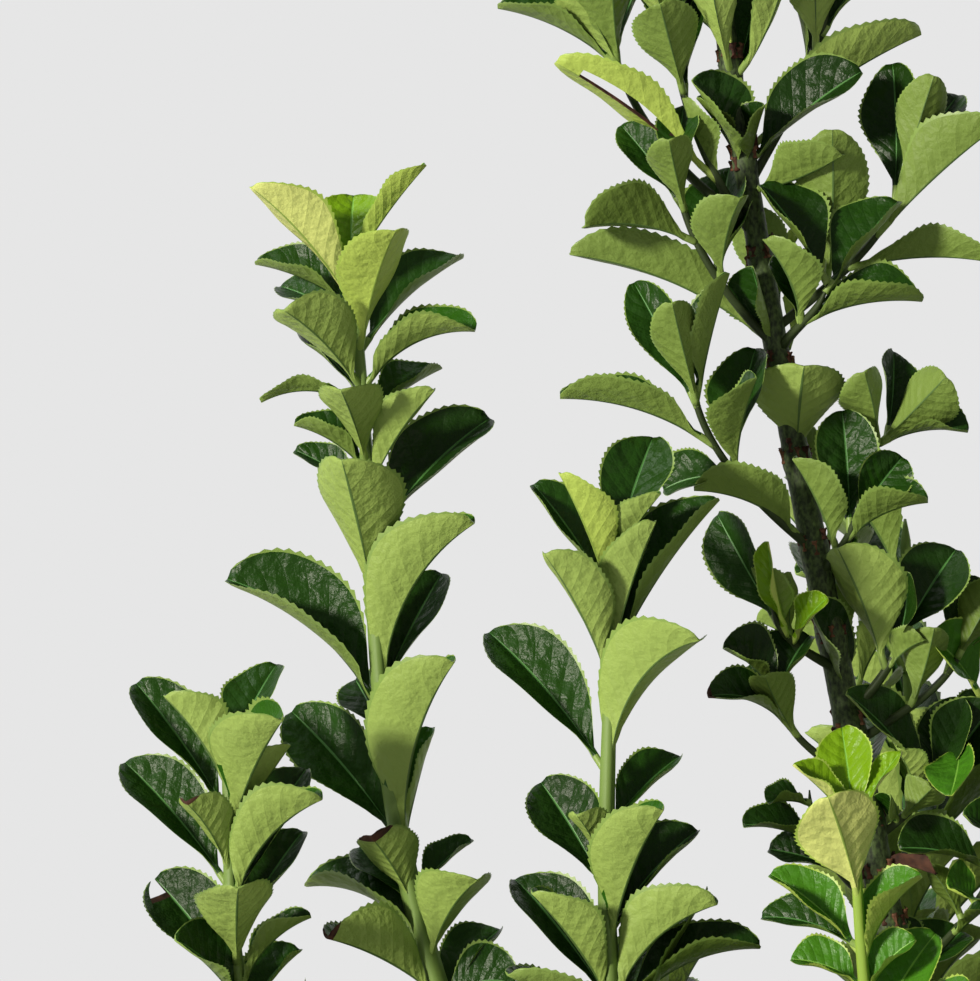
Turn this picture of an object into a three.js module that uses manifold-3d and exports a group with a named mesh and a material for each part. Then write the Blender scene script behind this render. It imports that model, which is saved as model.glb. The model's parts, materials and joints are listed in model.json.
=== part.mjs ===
// A potted Japanese spindle: an upright evergreen shrub of leafy spires in a plain clay pot.
//
// One short root crown stands in the soil. A tall leader and a few boughs rise from it, and some of the
// boughs fork. The leader runs up through its foliage with a side twig at each node. Every other bough ends
// where its leafy spire starts. The leaves stand in opposite pairs, each pair a quarter turn from the last.
//
// Millimetres, +Z up, with the origin under the middle of the pot. +X is to the right of the front view,
// +Y is away from it. Directions round a stem are in degrees from +X towards +Y, so 270 faces the front.
import * as THREE from "three";
import { mergeVertices } from "three/addons/utils/BufferGeometryUtils.js";
import Module from "manifold-3d";

const wasm = await Module();
wasm.setup();

// Clearance between neighbouring solids, and what a cut leaves
const GAP = 0.3;
const CUT_GAP = 0.35;
// Two leaves of one mass may share this much space, in cubic millimetres
const CROSSING = 0.01;
// Least distance between two corners of one solid, and how far its faces may move to keep that
const LEAST_GAP = 0.004;
const TOLERANCES = [0, 0.02, 0.05, 0.1, 0.2];
const NUDGES = [0, -0.15, 0.1, -0.3, 0.2];

// Pot and soil
const POT = {
  height: 190,
  footRadius: 74,
  footRound: 3,
  wallRadius: 98, // where the rim band starts
  rimRadius: 104, // of the band's lower edge
  rimLean: 2, // how much wider the band's upper edge is
  rimDepth: 32,
  rimRound: 2.5,
  mouthRadius: 93,
  wall: 7,
  floor: 11,
  drainRadius: 6.5,
  drainRing: 38,
  drains: 3,
  drainFacets: 12,
  facets: 26,
};
const SOIL = {
  top: 173,
  brim: 5, // how much lower it is where it meets the pot
  slope: 15, // width of the ring that falls to the brim
  gap: 0.4, // to the pot's wall, measured at a corner of the facets
};

// Root crown, a short stump that all the stems share, flared at its foot and domed where they leave it
const CROWN = {
  profile: [[21, 0], [17, 7], [15, 14], [9, 20], [0, 22.4]], // radius and height
  stemsFrom: 9, // height at which the stems' curves start
  facets: 12,
};

// Leaves: the angles are from the stem's direction, at the leaf's foot and at its tip
const LEAF = {
  widthShare: 0.6, // of the length
  widestAt: 0.56, // of the length, from the foot
  thicknessShare: 0.035, // of the length
  foldDeg: 28, // how far each half is raised from the midrib
  sunk: 0.9, // how deep the foot is in the stem
  footDeg: { tip: 14, low: 28 },
  endDeg: { tip: 44, low: 66 },
  opensOver: 3, // pairs from the tip until a leaf is fully open
  quarter: 90, // turn from one pair to the next
  drift: -4, // extra turn, which sets the pairs in a slow spiral
  tipGap: 0.6, // from the tip pair to the end of the stem
  crowding: 0.55, // distance between the tip pairs, as a share of the full step
};
// How far one leaf differs from the next: all its spread in length, in turn and in angles
const VARIETY = { length: 0.28, turn: 16, footDeg: 10, endDeg: 26 };
// Corners of a leaf's outline: share of its length from the foot, and share of its half width to either side
const LEAF_OUTLINE = [
  [0, 0],
  [0.52, 1],
  [0.97, 0.46],
  [0.97, -0.46],
  [0.52, -1],
];
// Share of a shoot's full leaf length and width, from the tip pair down
const TIP_SIZES = [0.6, 0.82, 0.95];
const TIP_WIDTHS = [0.7, 0.85, 0.95];

// Each limb is a curve from a foot on what carries it to the tip of its last leaf pair. `at` is the share of
// the carrier's length. `splay` is the angle at the foot from the carrier's own direction. `lean` is the
// sideways part of its direction at the tip. `bare` is the share of its length with no leaves.
const LIMBS = [
  { name: "leader", on: "crown", foot: [0, 0], tip: [-62, 5, 650], lean: [0, 0], splay: 0, radii: [4.4, 1.5],
    bare: 0.81, leaf: 31, step: 11.5, turn: 30, stretch: 28 },
  { name: "left_tall", on: "crown", foot: [-13, 3], tip: [-130, 8, 503], lean: [-0.11, 0.02], splay: 42,
    radii: [3.6, 1.1], bare: 0.27, leaf: 38, step: 12, turn: 356 },
  { name: "left_outer", on: "left_tall", at: 0.2, tip: [-154, -14, 406], lean: [-0.04, 0], splay: 24,
    radii: [2.7, 1.1], bare: 0.3, leaf: 34, step: 10.5, turn: 335 },
  { name: "left_inner", on: "crown", foot: [-9, -9], tip: [-78, -34, 444], lean: [0.02, -0.02], splay: 36,
    radii: [3.2, 1.1], bare: 0.3, leaf: 38, step: 12.5, turn: 340 },
  { name: "front_young", on: "leader", at: 0.094, tip: [-32, -50, 394], lean: [-0.02, -0.04], splay: 26,
    radii: [2.3, 1.0], bare: 0.28, leaf: 31, step: 11, turn: 350 },
  { name: "right_tall", on: "crown", foot: [13, 4], tip: [84, 22, 604], lean: [0.04, 0.02], splay: 30,
    radii: [3.9, 1.2], bare: 0.2, leaf: 40, step: 20, turn: 30 },
  { name: "right_outer", on: "right_tall", at: 0.14, tip: [148, -8, 488], lean: [0.1, -0.03], splay: 30,
    radii: [2.8, 1.1], bare: 0.22, leaf: 40, step: 19.5, turn: 15 },
  { name: "right_inner", on: "crown", foot: [9, -9], tip: [62, -62, 530], lean: [0.05, -0.06], splay: 30,
    radii: [3.2, 1.1], bare: 0.22, leaf: 40, step: 20, turn: 50 },
  { name: "front_mid", on: "right_inner", at: 0.13, tip: [30, -118, 440], lean: [-0.02, -0.12], splay: 28,
    radii: [2.6, 1.1], bare: 0.24, leaf: 39, step: 19, turn: 35 },
  { name: "front_right", on: "right_inner", at: 0.17, tip: [114, -94, 416], lean: [0.12, -0.1], splay: 34,
    radii: [2.4, 1.0], bare: 0.2, leaf: 39, step: 18.5, turn: 70 },
  { name: "front_low", on: "left_inner", at: 0.14, tip: [-58, -106, 330], lean: [-0.1, -0.16], splay: 38,
    radii: [2.2, 1.0], bare: 0.24, leaf: 37, step: 16.5, turn: 25 },
  { name: "back_mid", on: "crown", foot: [4, 13], tip: [36, 90, 552], lean: [0.02, 0.08], splay: 30,
    radii: [3.5, 1.2], bare: 0.2, leaf: 40, step: 20, turn: 10 },
  { name: "back_right", on: "back_mid", at: 0.13, tip: [112, 88, 470], lean: [0.1, 0.08], splay: 32,
    radii: [2.6, 1.1], bare: 0.22, leaf: 40, step: 19.5, turn: 60 },
  { name: "back_inner", on: "crown", foot: [-6, 11], tip: [-14, 72, 452], lean: [-0.02, 0.08], splay: 34,
    radii: [2.6, 1.0], bare: 0.24, leaf: 38, step: 19, turn: 40 },
  { name: "back_left", on: "back_inner", at: 0.12, tip: [-66, 104, 342], lean: [-0.1, 0.14], splay: 40,
    radii: [2.2, 1.0], bare: 0.24, leaf: 37, step: 16.5, turn: 75 },
  { name: "back_low", on: "left_tall", at: 0.16, tip: [-118, 66, 334], lean: [-0.12, 0.12], splay: 34,
    radii: [2.2, 1.0], bare: 0.24, leaf: 37, step: 16.5, turn: 30 },
];
const BEND = 0.33; // how far each end of a limb keeps its own direction, as a share of its length
const LIMB_FACETS = 5;
const LIMB_STEP = 52; // length of one straight stretch of a limb
const STEM_FACETS = 4; // of a stem with leaves, which stand on its flats
const SPIRE_STEP = 54;
const SPIRE_FOOT = 5; // bare length at the foot of a spire
const ROLL_STEP = 7; // degrees by which a limb's facets are turned to get a clean cut
const ROLLS = 9;

// The leader's nodes: height over the ground, direction of the first twig, and the lengths of that twig and
// of the one opposite. Each twig has the leaf under it, and a length of 0 leaves that twig out.
const TIERS = [
  { height: 270, turn: 80, reach: [44, 0] },
  { height: 304, turn: 172, reach: [40, 52] },
  { height: 340, turn: 262, reach: [0, 46] },
  { height: 370, turn: 172, reach: [38, 46] },
  { height: 392, turn: 262, reach: [24, 44] },
  { height: 410, turn: 168, reach: [34, 46] },
  { height: 429, turn: 262, reach: [24, 36] },
  { height: 446, turn: 172, reach: [42, 38] },
  { height: 464, turn: 262, reach: [14, 42] },
  { height: 482, turn: 172, reach: [76, 52] },
  { height: 504, turn: 238, reach: [14, 44] },
  { height: 524, turn: 176, reach: [14, 28] },
  { height: 543, turn: 262, reach: [14, 22] },
];
const TWIG = {
  radii: [1.4, 0.8],
  splay: 52,
  out: [14, 0.2, 0.62], // millimetres, share of its length, and most as a share
  lean: 0.16, // sideways part of its direction at the tip
  stretch: 14,
  leaf: 27,
  step: 10.2,
  bare: 7,
  under: { at: 6, footDeg: 48, endDeg: 82, spread: 0.3 }, // the leaf that it grew above
};
const SPIRE_SEED = 101;
const TWIG_SEED = 301;

const toRadians = THREE.MathUtils.degToRad;
const UP = new THREE.Vector3(0, 0, 1);
const EAST = new THREE.Vector3(1, 0, 0);

// Numbers from 0 to 1 that are the same at every run
function seeded(seed) {
  let state = seed >>> 0;
  return () => {
    state = (state + 0x6d2b79f5) >>> 0;
    let mixed = Math.imul(state ^ (state >>> 15), state | 1);
    mixed ^= mixed + Math.imul(mixed ^ (mixed >>> 7), mixed | 61);
    return ((mixed ^ (mixed >>> 14)) >>> 0) / 4294967296;
  };
}

// A closed geometry as a solid that can be joined and cut
function solidOf(geometry) {
  const bare = new THREE.BufferGeometry();
  bare.setAttribute("position", geometry.getAttribute("position"));
  if (geometry.index) bare.setIndex(geometry.index);
  const merged = mergeVertices(bare, 1e-4);
  return new wasm.Manifold(
    new wasm.Mesh({
      numProp: 3,
      vertProperties: new Float32Array(merged.attributes.position.array),
      triVerts: new Uint32Array(merged.index.array),
    }),
  );
}

// A solid's surface as a geometry
function geometryOf(solid) {
  const mesh = solid.getMesh();
  const places = new Float32Array(mesh.numVert * 3);
  for (let i = 0; i < mesh.numVert; i++) {
    places.set(mesh.vertProperties.subarray(i * mesh.numProp, i * mesh.numProp + 3), i * 3);
  }
  const geometry = new THREE.BufferGeometry();
  geometry.setAttribute("position", new THREE.BufferAttribute(places, 3));
  geometry.setIndex(new THREE.BufferAttribute(mesh.triVerts, 1));
  geometry.computeVertexNormals();
  return geometry;
}

// The largest body of a solid, with the loose scraps dropped
function largestBody(solid) {
  return solid.decompose().reduce((best, body) => (body.volume() > best.volume() ? body : best));
}

// Whether a solid is one body with no two corners as good as touching and no sliver of a face
function isSound(solid) {
  if (solid.decompose().length !== 1) return false;
  const { numVert, numProp, vertProperties, triVerts } = solid.getMesh();
  const corners = Array.from({ length: numVert }, (_, i) => {
    return new THREE.Vector3().fromArray(vertProperties, i * numProp);
  });
  const byX = [...corners].sort((a, b) => a.x - b.x);
  for (let i = 0; i < numVert; i++) {
    for (let j = i + 1; j < numVert && byX[j].x - byX[i].x < LEAST_GAP; j++) {
      if (byX[i].distanceTo(byX[j]) < LEAST_GAP) return false;
    }
  }
  const triangle = new THREE.Triangle();
  for (let i = 0; i < triVerts.length; i += 3) {
    const [a, b, c] = [0, 1, 2].map((n) => corners[triVerts[i + n]]);
    const longest = Math.max(a.distanceTo(b), b.distanceTo(c), c.distanceTo(a));
    if ((2 * triangle.set(a, b, c).getArea()) / longest < LEAST_GAP / 2) return false;
  }
  return true;
}

// A sound solid as close to the given one as can be, or nothing
function soundest(solid) {
  for (const tolerance of TOLERANCES) {
    const candidate = tolerance ? solid.simplify(tolerance) : solid;
    if (isSound(candidate)) return candidate;
  }
  return null;
}

// Turns a profile of [radius, height] points round the upright axis
function turned(profile, facets) {
  const points = profile.map(([radius, height]) => new THREE.Vector2(radius, height));
  const geometry = new THREE.LatheGeometry(points, facets);
  geometry.rotateX(Math.PI / 2);
  return solidOf(geometry);
}

// The direction square to `along` that points towards `turn` degrees round it
function outwards(along, turn) {
  const east = EAST.clone().addScaledVector(along, -EAST.dot(along)).normalize();
  const north = along.clone().cross(east);
  return east.multiplyScalar(Math.cos(toRadians(turn))).addScaledVector(north, Math.sin(toRadians(turn)));
}

// A curve that leaves `foot` along `start` and reaches `tip` along `end`
function growth(foot, start, tip, end) {
  const reach = foot.distanceTo(tip) * BEND;
  return new THREE.CubicBezierCurve3(
    foot,
    foot.clone().addScaledVector(start, reach),
    tip.clone().addScaledVector(end, -reach),
    tip,
  );
}

// How far the corners and flats of a many-sided rod are from its axis, with the section of a round rod
const cornersAt = (facets) => Math.sqrt((2 * Math.PI) / (facets * Math.sin((2 * Math.PI) / facets)));
const flatsAt = (facets) => cornersAt(facets) * Math.cos(Math.PI / facets);

// A tapering rod round the part of a curve from share `from` to share `to`. `rollAt` turns its corners.
function rod(curve, from, to, radiusAt, facets, stretches, rollAt) {
  const corner = cornersAt(facets);
  const geometry = new THREE.CylinderGeometry(corner, corner, 1, facets, stretches);
  const places = geometry.getAttribute("position");
  for (let i = 0; i < places.count; i++) {
    const share = from + (to - from) * (0.5 - places.getY(i));
    const along = curve.getTangentAt(share);
    const radius = radiusAt(share);
    const side = outwards(along, rollAt(share));
    const spot = curve
      .getPointAt(share)
      .addScaledVector(side, places.getX(i) * radius)
      .addScaledVector(along.clone().cross(side), places.getZ(i) * radius);
    places.setXYZ(i, spot.x, spot.y, spot.z);
  }
  return solidOf(geometry);
}

const taper = ([foot, tip]) => (share) => foot + (tip - foot) * share;

// How far along its axis a side stem starts to be clear of what carries it
function clearOf(carrierRadius, ownRadius, splayDeg) {
  const splay = toRadians(splayDeg);
  return (carrierRadius + GAP) / Math.sin(splay) + (cornersAt(STEM_FACETS) * ownRadius) / Math.tan(splay);
}

// A leaf whose foot is at `spot` on a stem that runs along `along`. It arches from `footDeg` to `endDeg` off
// the stem, and its two halves are raised from the midrib. A cone's rim of five corners is its outline, the
// cone's point is under the midrib and the middle of its base is on top of it, so it has ten faces.
function leafSolid({ spot, along, inside, turn, length, footDeg, endDeg, rank }) {
  const out = outwards(along, turn);
  const side = along.clone().cross(out);
  const [first, last] = [toRadians(footDeg), toRadians(endDeg)];
  const arch = length / (last - first);
  const fold = toRadians(LEAF.foldDeg);
  const halfWidth = ((length * LEAF.widthShare) / 2) * (TIP_WIDTHS[rank] ?? 1);
  const halfThickness = (length * LEAF.thicknessShare) / 2;
  const geometry = new THREE.ConeGeometry(1, 1, LEAF_OUTLINE.length, 1);
  const places = geometry.getAttribute("position");
  for (let i = 0; i < places.count; i++) {
    const [x, y, z] = [places.getX(i), places.getY(i), places.getZ(i)];
    const onRim = Math.hypot(x, z) > 0.5;
    const corner = Math.round((Math.atan2(x, z) / (2 * Math.PI)) * LEAF_OUTLINE.length);
    const [share, edge] = onRim ? LEAF_OUTLINE.at(corner % LEAF_OUTLINE.length) : [LEAF.widestAt, 0];
    const face = onRim ? 0 : -Math.sign(y);
    const angle = first + (last - first) * share;
    const upper = along.clone().multiplyScalar(Math.sin(angle)).addScaledVector(out, -Math.cos(angle));
    const place = spot
      .clone()
      .addScaledVector(out, inside + arch * (Math.cos(first) - Math.cos(angle)))
      .addScaledVector(along, arch * (Math.sin(angle) - Math.sin(first)))
      .addScaledVector(side, edge * halfWidth * Math.cos(fold))
      .addScaledVector(upper, Math.abs(edge) * halfWidth * Math.sin(fold) + face * halfThickness);
    places.setXYZ(i, place.x, place.y, place.z);
  }
  return solidOf(geometry);
}

// Turn of the leaf pair of a rank, counted from the tip
const turnOf = (turn, rank) => turn + rank * (LEAF.quarter + LEAF.drift);

// The leaf pairs of a shoot, listed from the tip down to share `from` of its curve
function leafPairs(curve, from, { leaf, step, turn, radii }, random) {
  const span = curve.getLength();
  const radiusAt = taper(radii);
  const pairs = [];
  const opening = (angles, opened) => THREE.MathUtils.lerp(angles.tip, angles.low, opened);
  for (let low = LEAF.tipGap, rank = 0; 1 - low / span > from; rank++) {
    const opened = Math.min(1, rank / LEAF.opensOver);
    const size = TIP_SIZES[rank] ?? 1;
    const share = 1 - low / span;
    for (const half of [0, 180]) {
      const [longer, wider, veer] = [random(), random(), random()];
      pairs.push({
        rank,
        inside: Math.max(flatsAt(STEM_FACETS) * radiusAt(share) - LEAF.sunk, 0.1),
        spot: curve.getPointAt(share),
        along: curve.getTangentAt(share),
        turn: turnOf(turn, rank) + half + (veer - 0.5) * VARIETY.turn,
        length: leaf * size * (1 + (longer - 0.5) * VARIETY.length),
        footDeg: opening(LEAF.footDeg, opened) + (wider - 0.5) * VARIETY.footDeg,
        endDeg: opening(LEAF.endDeg, opened) + (wider - 0.5) * VARIETY.endDeg,
      });
    }
    low += step * THREE.MathUtils.lerp(LEAF.crowding, 1, opened);
  }
  return pairs;
}

// The square stem of a shoot, whose flats turn with its leaf pairs
function leafyStem(curve, from, { step, turn, radii }, stretches) {
  const ranks = (share) => ((1 - share) * curve.getLength()) / step;
  const rollAt = (share) => turn + 45 + LEAF.drift * ranks(share);
  return rod(curve, from, 1, taper(radii), STEM_FACETS, stretches, rollAt);
}

// Everything that stands so far, so that a new leaf keeps clear of it
const standing = [];

function stand(name, solid) {
  standing.push({ name, solid, box: solid.boundingBox() });
  return solid;
}

function isClear(solid, ownName) {
  const box = solid.boundingBox();
  return standing.every(
    (other) =>
      other.name === ownName ||
      [0, 1, 2].some((i) => box.min[i] > other.box.max[i] + GAP || other.box.min[i] > box.max[i] + GAP) ||
      solid.minGap(other.solid, 2 * GAP) >= GAP,
  );
}

// Joins a stem and those of its leaves that touch nothing else and do not cut through one another. A leaf
// that meets the stem edge on is moved a little in or out.
function leafyMass(name, stem, leaves) {
  const blades = [];
  let mass = stem;
  for (const leaf of leaves) {
    for (const nudge of NUDGES) {
      const solid = leafSolid({ ...leaf, inside: leaf.inside + nudge });
      const blade = solid.subtract(stem);
      if (!isClear(solid, name) || blades.some((other) => other.intersect(blade).volume() > CROSSING)) break;
      const joined = soundest(mass.add(solid));
      if (!joined) continue;
      mass = joined;
      blades.push(blade);
      break;
    }
  }
  return stand(name, mass);
}

// Radius of the pot's inside at a height
function potInside(z) {
  const { height, footRadius, wallRadius, mouthRadius, wall, floor, rimDepth, rimRound } = POT;
  const atFloor = footRadius + ((wallRadius - footRadius) * floor) / (height - rimDepth) - wall;
  return atFloor + ((mouthRadius - atFloor) * (z - floor)) / (height - rimRound - floor);
}

function makePot() {
  const { height, footRadius, footRound, wallRadius, rimRadius, rimLean, rimDepth, rimRound } = POT;
  const { mouthRadius, floor, drains, drainRadius, drainRing, drainFacets, facets } = POT;
  const band = height - rimDepth;
  const pot = turned(
    [
      [0, 0],
      [footRadius - footRound, 0],
      [footRadius, footRound],
      [wallRadius, band],
      [rimRadius - rimRound, band],
      [rimRadius, band + rimRound],
      [rimRadius + rimLean, height - rimRound],
      [rimRadius + rimLean - rimRound, height],
      [mouthRadius + rimRound, height],
      [mouthRadius, height - rimRound],
      [potInside(floor), floor],
      [0, floor],
    ],
    facets,
  );
  const holes = [];
  for (let i = 0; i < drains; i++) {
    const angle = (i * 2 * Math.PI) / drains;
    const hole = new THREE.CylinderGeometry(drainRadius, drainRadius, 3 * floor, drainFacets);
    hole.rotateX(Math.PI / 2);
    hole.translate(drainRing * Math.cos(angle), drainRing * Math.sin(angle), floor / 2);
    holes.push(solidOf(hole));
  }
  return pot.subtract(wasm.Manifold.union(holes));
}

function makeSoil() {
  const { top, brim, slope, gap } = SOIL;
  const foot = POT.floor + GAP;
  return turned(
    [
      [0, foot],
      [potInside(foot) - gap, foot],
      [potInside(top - brim) - gap, top - brim],
      [potInside(top) - gap - slope, top],
      [0, top],
    ],
    POT.facets,
  );
}

// The root crown, or with `extra` the space that the stems keep out of
function makeCrown(extra = 0) {
  const foot = SOIL.top + GAP;
  const profile = CROWN.profile.map(([radius, high]) => {
    return [radius && radius + extra, foot + high + (high ? extra : -extra)];
  });
  return turned([[0, foot - extra], ...profile], CROWN.facets);
}

// Curves of all the limbs, each from a foot on its carrier
function limbCurves() {
  const curves = {};
  for (const limb of LIMBS) {
    const tip = new THREE.Vector3(...limb.tip);
    const end = new THREE.Vector3(...limb.lean, 1).normalize();
    const fromCrown = limb.on === "crown";
    const foot = fromCrown
      ? new THREE.Vector3(...limb.foot, SOIL.top + CROWN.stemsFrom)
      : curves[limb.on].getPointAt(limb.at);
    const along = fromCrown ? UP.clone() : curves[limb.on].getTangentAt(limb.at);
    const aim = tip.clone().sub(foot);
    const out = aim.addScaledVector(along, -aim.dot(along)).normalize();
    const start = along
      .multiplyScalar(Math.cos(toRadians(limb.splay)))
      .addScaledVector(out, Math.sin(toRadians(limb.splay)));
    curves[limb.name] = growth(foot, start, tip, end);
  }
  return curves;
}

// Share of an almost upright curve at which it reaches a height
function shareAtHeight(curve, height) {
  let [low, high] = [0, 1];
  for (let i = 0; i < 24; i++) {
    const middle = (low + high) / 2;
    if (curve.getPointAt(middle).z < height) low = middle;
    else high = middle;
  }
  return low;
}

// A side twig from a curve at a share, towards a turn
function twigCurve(carrier, share, turn, length) {
  const along = carrier.getTangentAt(share);
  const out = outwards(along, turn);
  const foot = carrier.getPointAt(share);
  const sideways = Math.min(TWIG.out[0] + TWIG.out[1] * length, TWIG.out[2] * length);
  const tip = foot
    .clone()
    .addScaledVector(out, sideways)
    .addScaledVector(along, Math.sqrt(length ** 2 - sideways ** 2));
  const start = along
    .clone()
    .multiplyScalar(Math.cos(toRadians(TWIG.splay)))
    .addScaledVector(out, Math.sin(toRadians(TWIG.splay)));
  const end = along.clone().addScaledVector(out, TWIG.lean).normalize();
  return growth(foot, start, tip, end);
}

// The leaf under a side twig, which stands on the twig's foot. `size` is from 0 to 1.
function leafUnder(curve, along, turn, size) {
  const { at, footDeg, endDeg, spread } = TWIG.under;
  const spot = curve.getPointAt(Math.min(0.5, at / curve.getLength()));
  const length = TWIG.leaf * (1 + (size - 0.5) * spread);
  return { spot, along, inside: 0, turn, length, footDeg, endDeg };
}

const group = new THREE.Group();
const MATERIALS = {
  clay: new THREE.MeshStandardMaterial({ color: 0xb5714c, roughness: 0.85, metalness: 0 }),
  soil: new THREE.MeshStandardMaterial({ color: 0x33261c, roughness: 1, metalness: 0 }),
  bark: new THREE.MeshStandardMaterial({ color: 0x4a5240, roughness: 0.75, metalness: 0 }),
  leaves: new THREE.MeshStandardMaterial({ color: 0x3f6b22, roughness: 0.4, metalness: 0 }),
};

function addMesh(name, solid, material) {
  const mesh = new THREE.Mesh(geometryOf(solid), material);
  mesh.name = name;
  group.add(mesh);
}

addMesh("pot", stand("pot", makePot()), MATERIALS.clay);
addMesh("soil", stand("soil", makeSoil()), MATERIALS.soil);
addMesh("root_crown", stand("root_crown", makeCrown()), MATERIALS.bark);

// Limbs, each cut clear of the crown and of every limb before it, with facets turned until the cut is clean
const curves = limbCurves();
const grown = [makeCrown(GAP)];
for (const limb of LIMBS) {
  const curve = curves[limb.name];
  const to = limb.bare;
  const stretches = Math.max(3, Math.round((curve.getLength() * to) / (limb.stretch ?? LIMB_STEP)));
  const radiusAt = taper(limb.radii);
  const widerAt = (share) => radiusAt(share) + CUT_GAP;
  let cut = null;
  for (let i = 0; !cut && i < ROLLS; i++) {
    const rollAt = () => i * ROLL_STEP;
    const full = rod(curve, 0, to, radiusAt, LIMB_FACETS, stretches, rollAt);
    cut = soundest(largestBody(grown.reduce((left, other) => left.subtract(other), full)));
    if (cut) grown.push(rod(curve, 0, to, widerAt, LIMB_FACETS, stretches, rollAt));
  }
  addMesh(limb.name + "_stem", stand(limb.name + "_stem", cut), MATERIALS.bark);
}

// The leafy spire of each limb, from the limb's tip on
const spires = LIMBS.map((limb, index) => {
  const curve = curves[limb.name];
  const start = limb.bare + GAP / curve.getLength();
  const stretches = Math.round((curve.getLength() * (1 - start)) / SPIRE_STEP);
  return {
    name: limb.name + "_leaves",
    stem: leafyStem(curve, start, limb, Math.max(2, stretches)),
    leaves: leafPairs(curve, start + SPIRE_FOOT / curve.getLength(), limb, seeded(SPIRE_SEED + index)),
  };
});

// The leader's side twigs, up to two at each node, and each with the leaf that it grew above
const twigs = TIERS.flatMap(({ height, turn, reach }, tier) => {
  const share = shareAtHeight(curves.leader, height);
  const along = curves.leader.getTangentAt(share);
  const leaderRadius = taper(LIMBS[0].radii)(share);
  return [0, 1].filter((half) => reach[half]).map((half) => {
    const random = seeded(TWIG_SEED + 2 * tier + half);
    const towards = turn + 180 * half;
    const shape = { ...TWIG, turn: towards + 90 };
    const curve = twigCurve(curves.leader, share, towards, reach[half]);
    const start = clearOf(leaderRadius, TWIG.radii[0], TWIG.splay) / curve.getLength();
    const leaves = leafPairs(curve, TWIG.bare / curve.getLength(), shape, random);
    leaves.push(leafUnder(curve, along, towards, random()));
    const stem = leafyStem(curve, start, shape, Math.max(2, Math.round(reach[half] / TWIG.stretch)));
    return { name: `leader_twig_${tier + 1}${"ab"[half]}`, stem, leaves };
  });
});

// All the stems stand before the first leaf, so that no leaf grows into one
const shoots = [...spires, ...twigs];
for (const { name, stem } of shoots) stand(name, stem);
for (const { name, stem, leaves } of shoots) addMesh(name, leafyMass(name, stem, leaves), MATERIALS.leaves);

export default group;
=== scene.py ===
"""Grows a potted Japanese spindle round its solids: bark, green shoots, toothed leaves, compost and pot."""

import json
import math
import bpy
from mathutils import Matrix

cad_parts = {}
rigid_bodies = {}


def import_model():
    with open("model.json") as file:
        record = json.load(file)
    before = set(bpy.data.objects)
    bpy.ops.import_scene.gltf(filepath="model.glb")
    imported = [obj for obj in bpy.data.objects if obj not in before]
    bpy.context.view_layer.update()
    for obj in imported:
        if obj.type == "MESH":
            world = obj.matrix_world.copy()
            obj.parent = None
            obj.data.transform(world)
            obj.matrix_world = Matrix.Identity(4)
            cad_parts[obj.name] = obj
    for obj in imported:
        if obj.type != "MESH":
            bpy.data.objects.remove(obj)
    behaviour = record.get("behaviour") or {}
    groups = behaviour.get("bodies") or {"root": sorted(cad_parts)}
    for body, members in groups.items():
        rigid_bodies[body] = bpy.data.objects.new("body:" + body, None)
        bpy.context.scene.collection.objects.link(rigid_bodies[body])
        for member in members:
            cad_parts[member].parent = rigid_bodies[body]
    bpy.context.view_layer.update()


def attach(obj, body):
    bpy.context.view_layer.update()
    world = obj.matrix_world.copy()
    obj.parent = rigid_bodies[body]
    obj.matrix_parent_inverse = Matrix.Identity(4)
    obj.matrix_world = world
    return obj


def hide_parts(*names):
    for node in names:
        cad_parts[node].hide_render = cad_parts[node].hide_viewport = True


bl_info = {
    "name": "Potted Japanese Spindle",
    "version": (1, 0, 0),
    "blender": (4, 5, 0),
    "location": "3D View > Sidebar > Spindle",
    "description": "Grows an upright evergreen shrub in a clay pot round its solids",
    "category": "Object",
}

from collections import namedtuple

import bpy
import numpy as np
from mathutils import Matrix, Vector, noise

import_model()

# All sizes below are in millimetres unless they say so, in the frame of the solids: +X right, +Y away, +Z up
MM = 0.001
UP = np.array([0.0, 0.0, 1.0])
EAST = np.array([1.0, 0.0, 0.0])

SOIL_TOP = 173
STEMS_FROM = 9  # height over the soil at which the stems' curves start
GAP = 0.3  # between a limb's bare stem and its leafy part

# The photograph's camera looks along +Y, and a pixel shows 0.2 mm of the leader
CAMERA = np.array([-102.0, -1200.0, 458.0])
PICTURE_WIDTH = 980
PICTURE_MIDDLE = np.array([490, 490.5])
FOCAL_PIXELS = 6000

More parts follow.
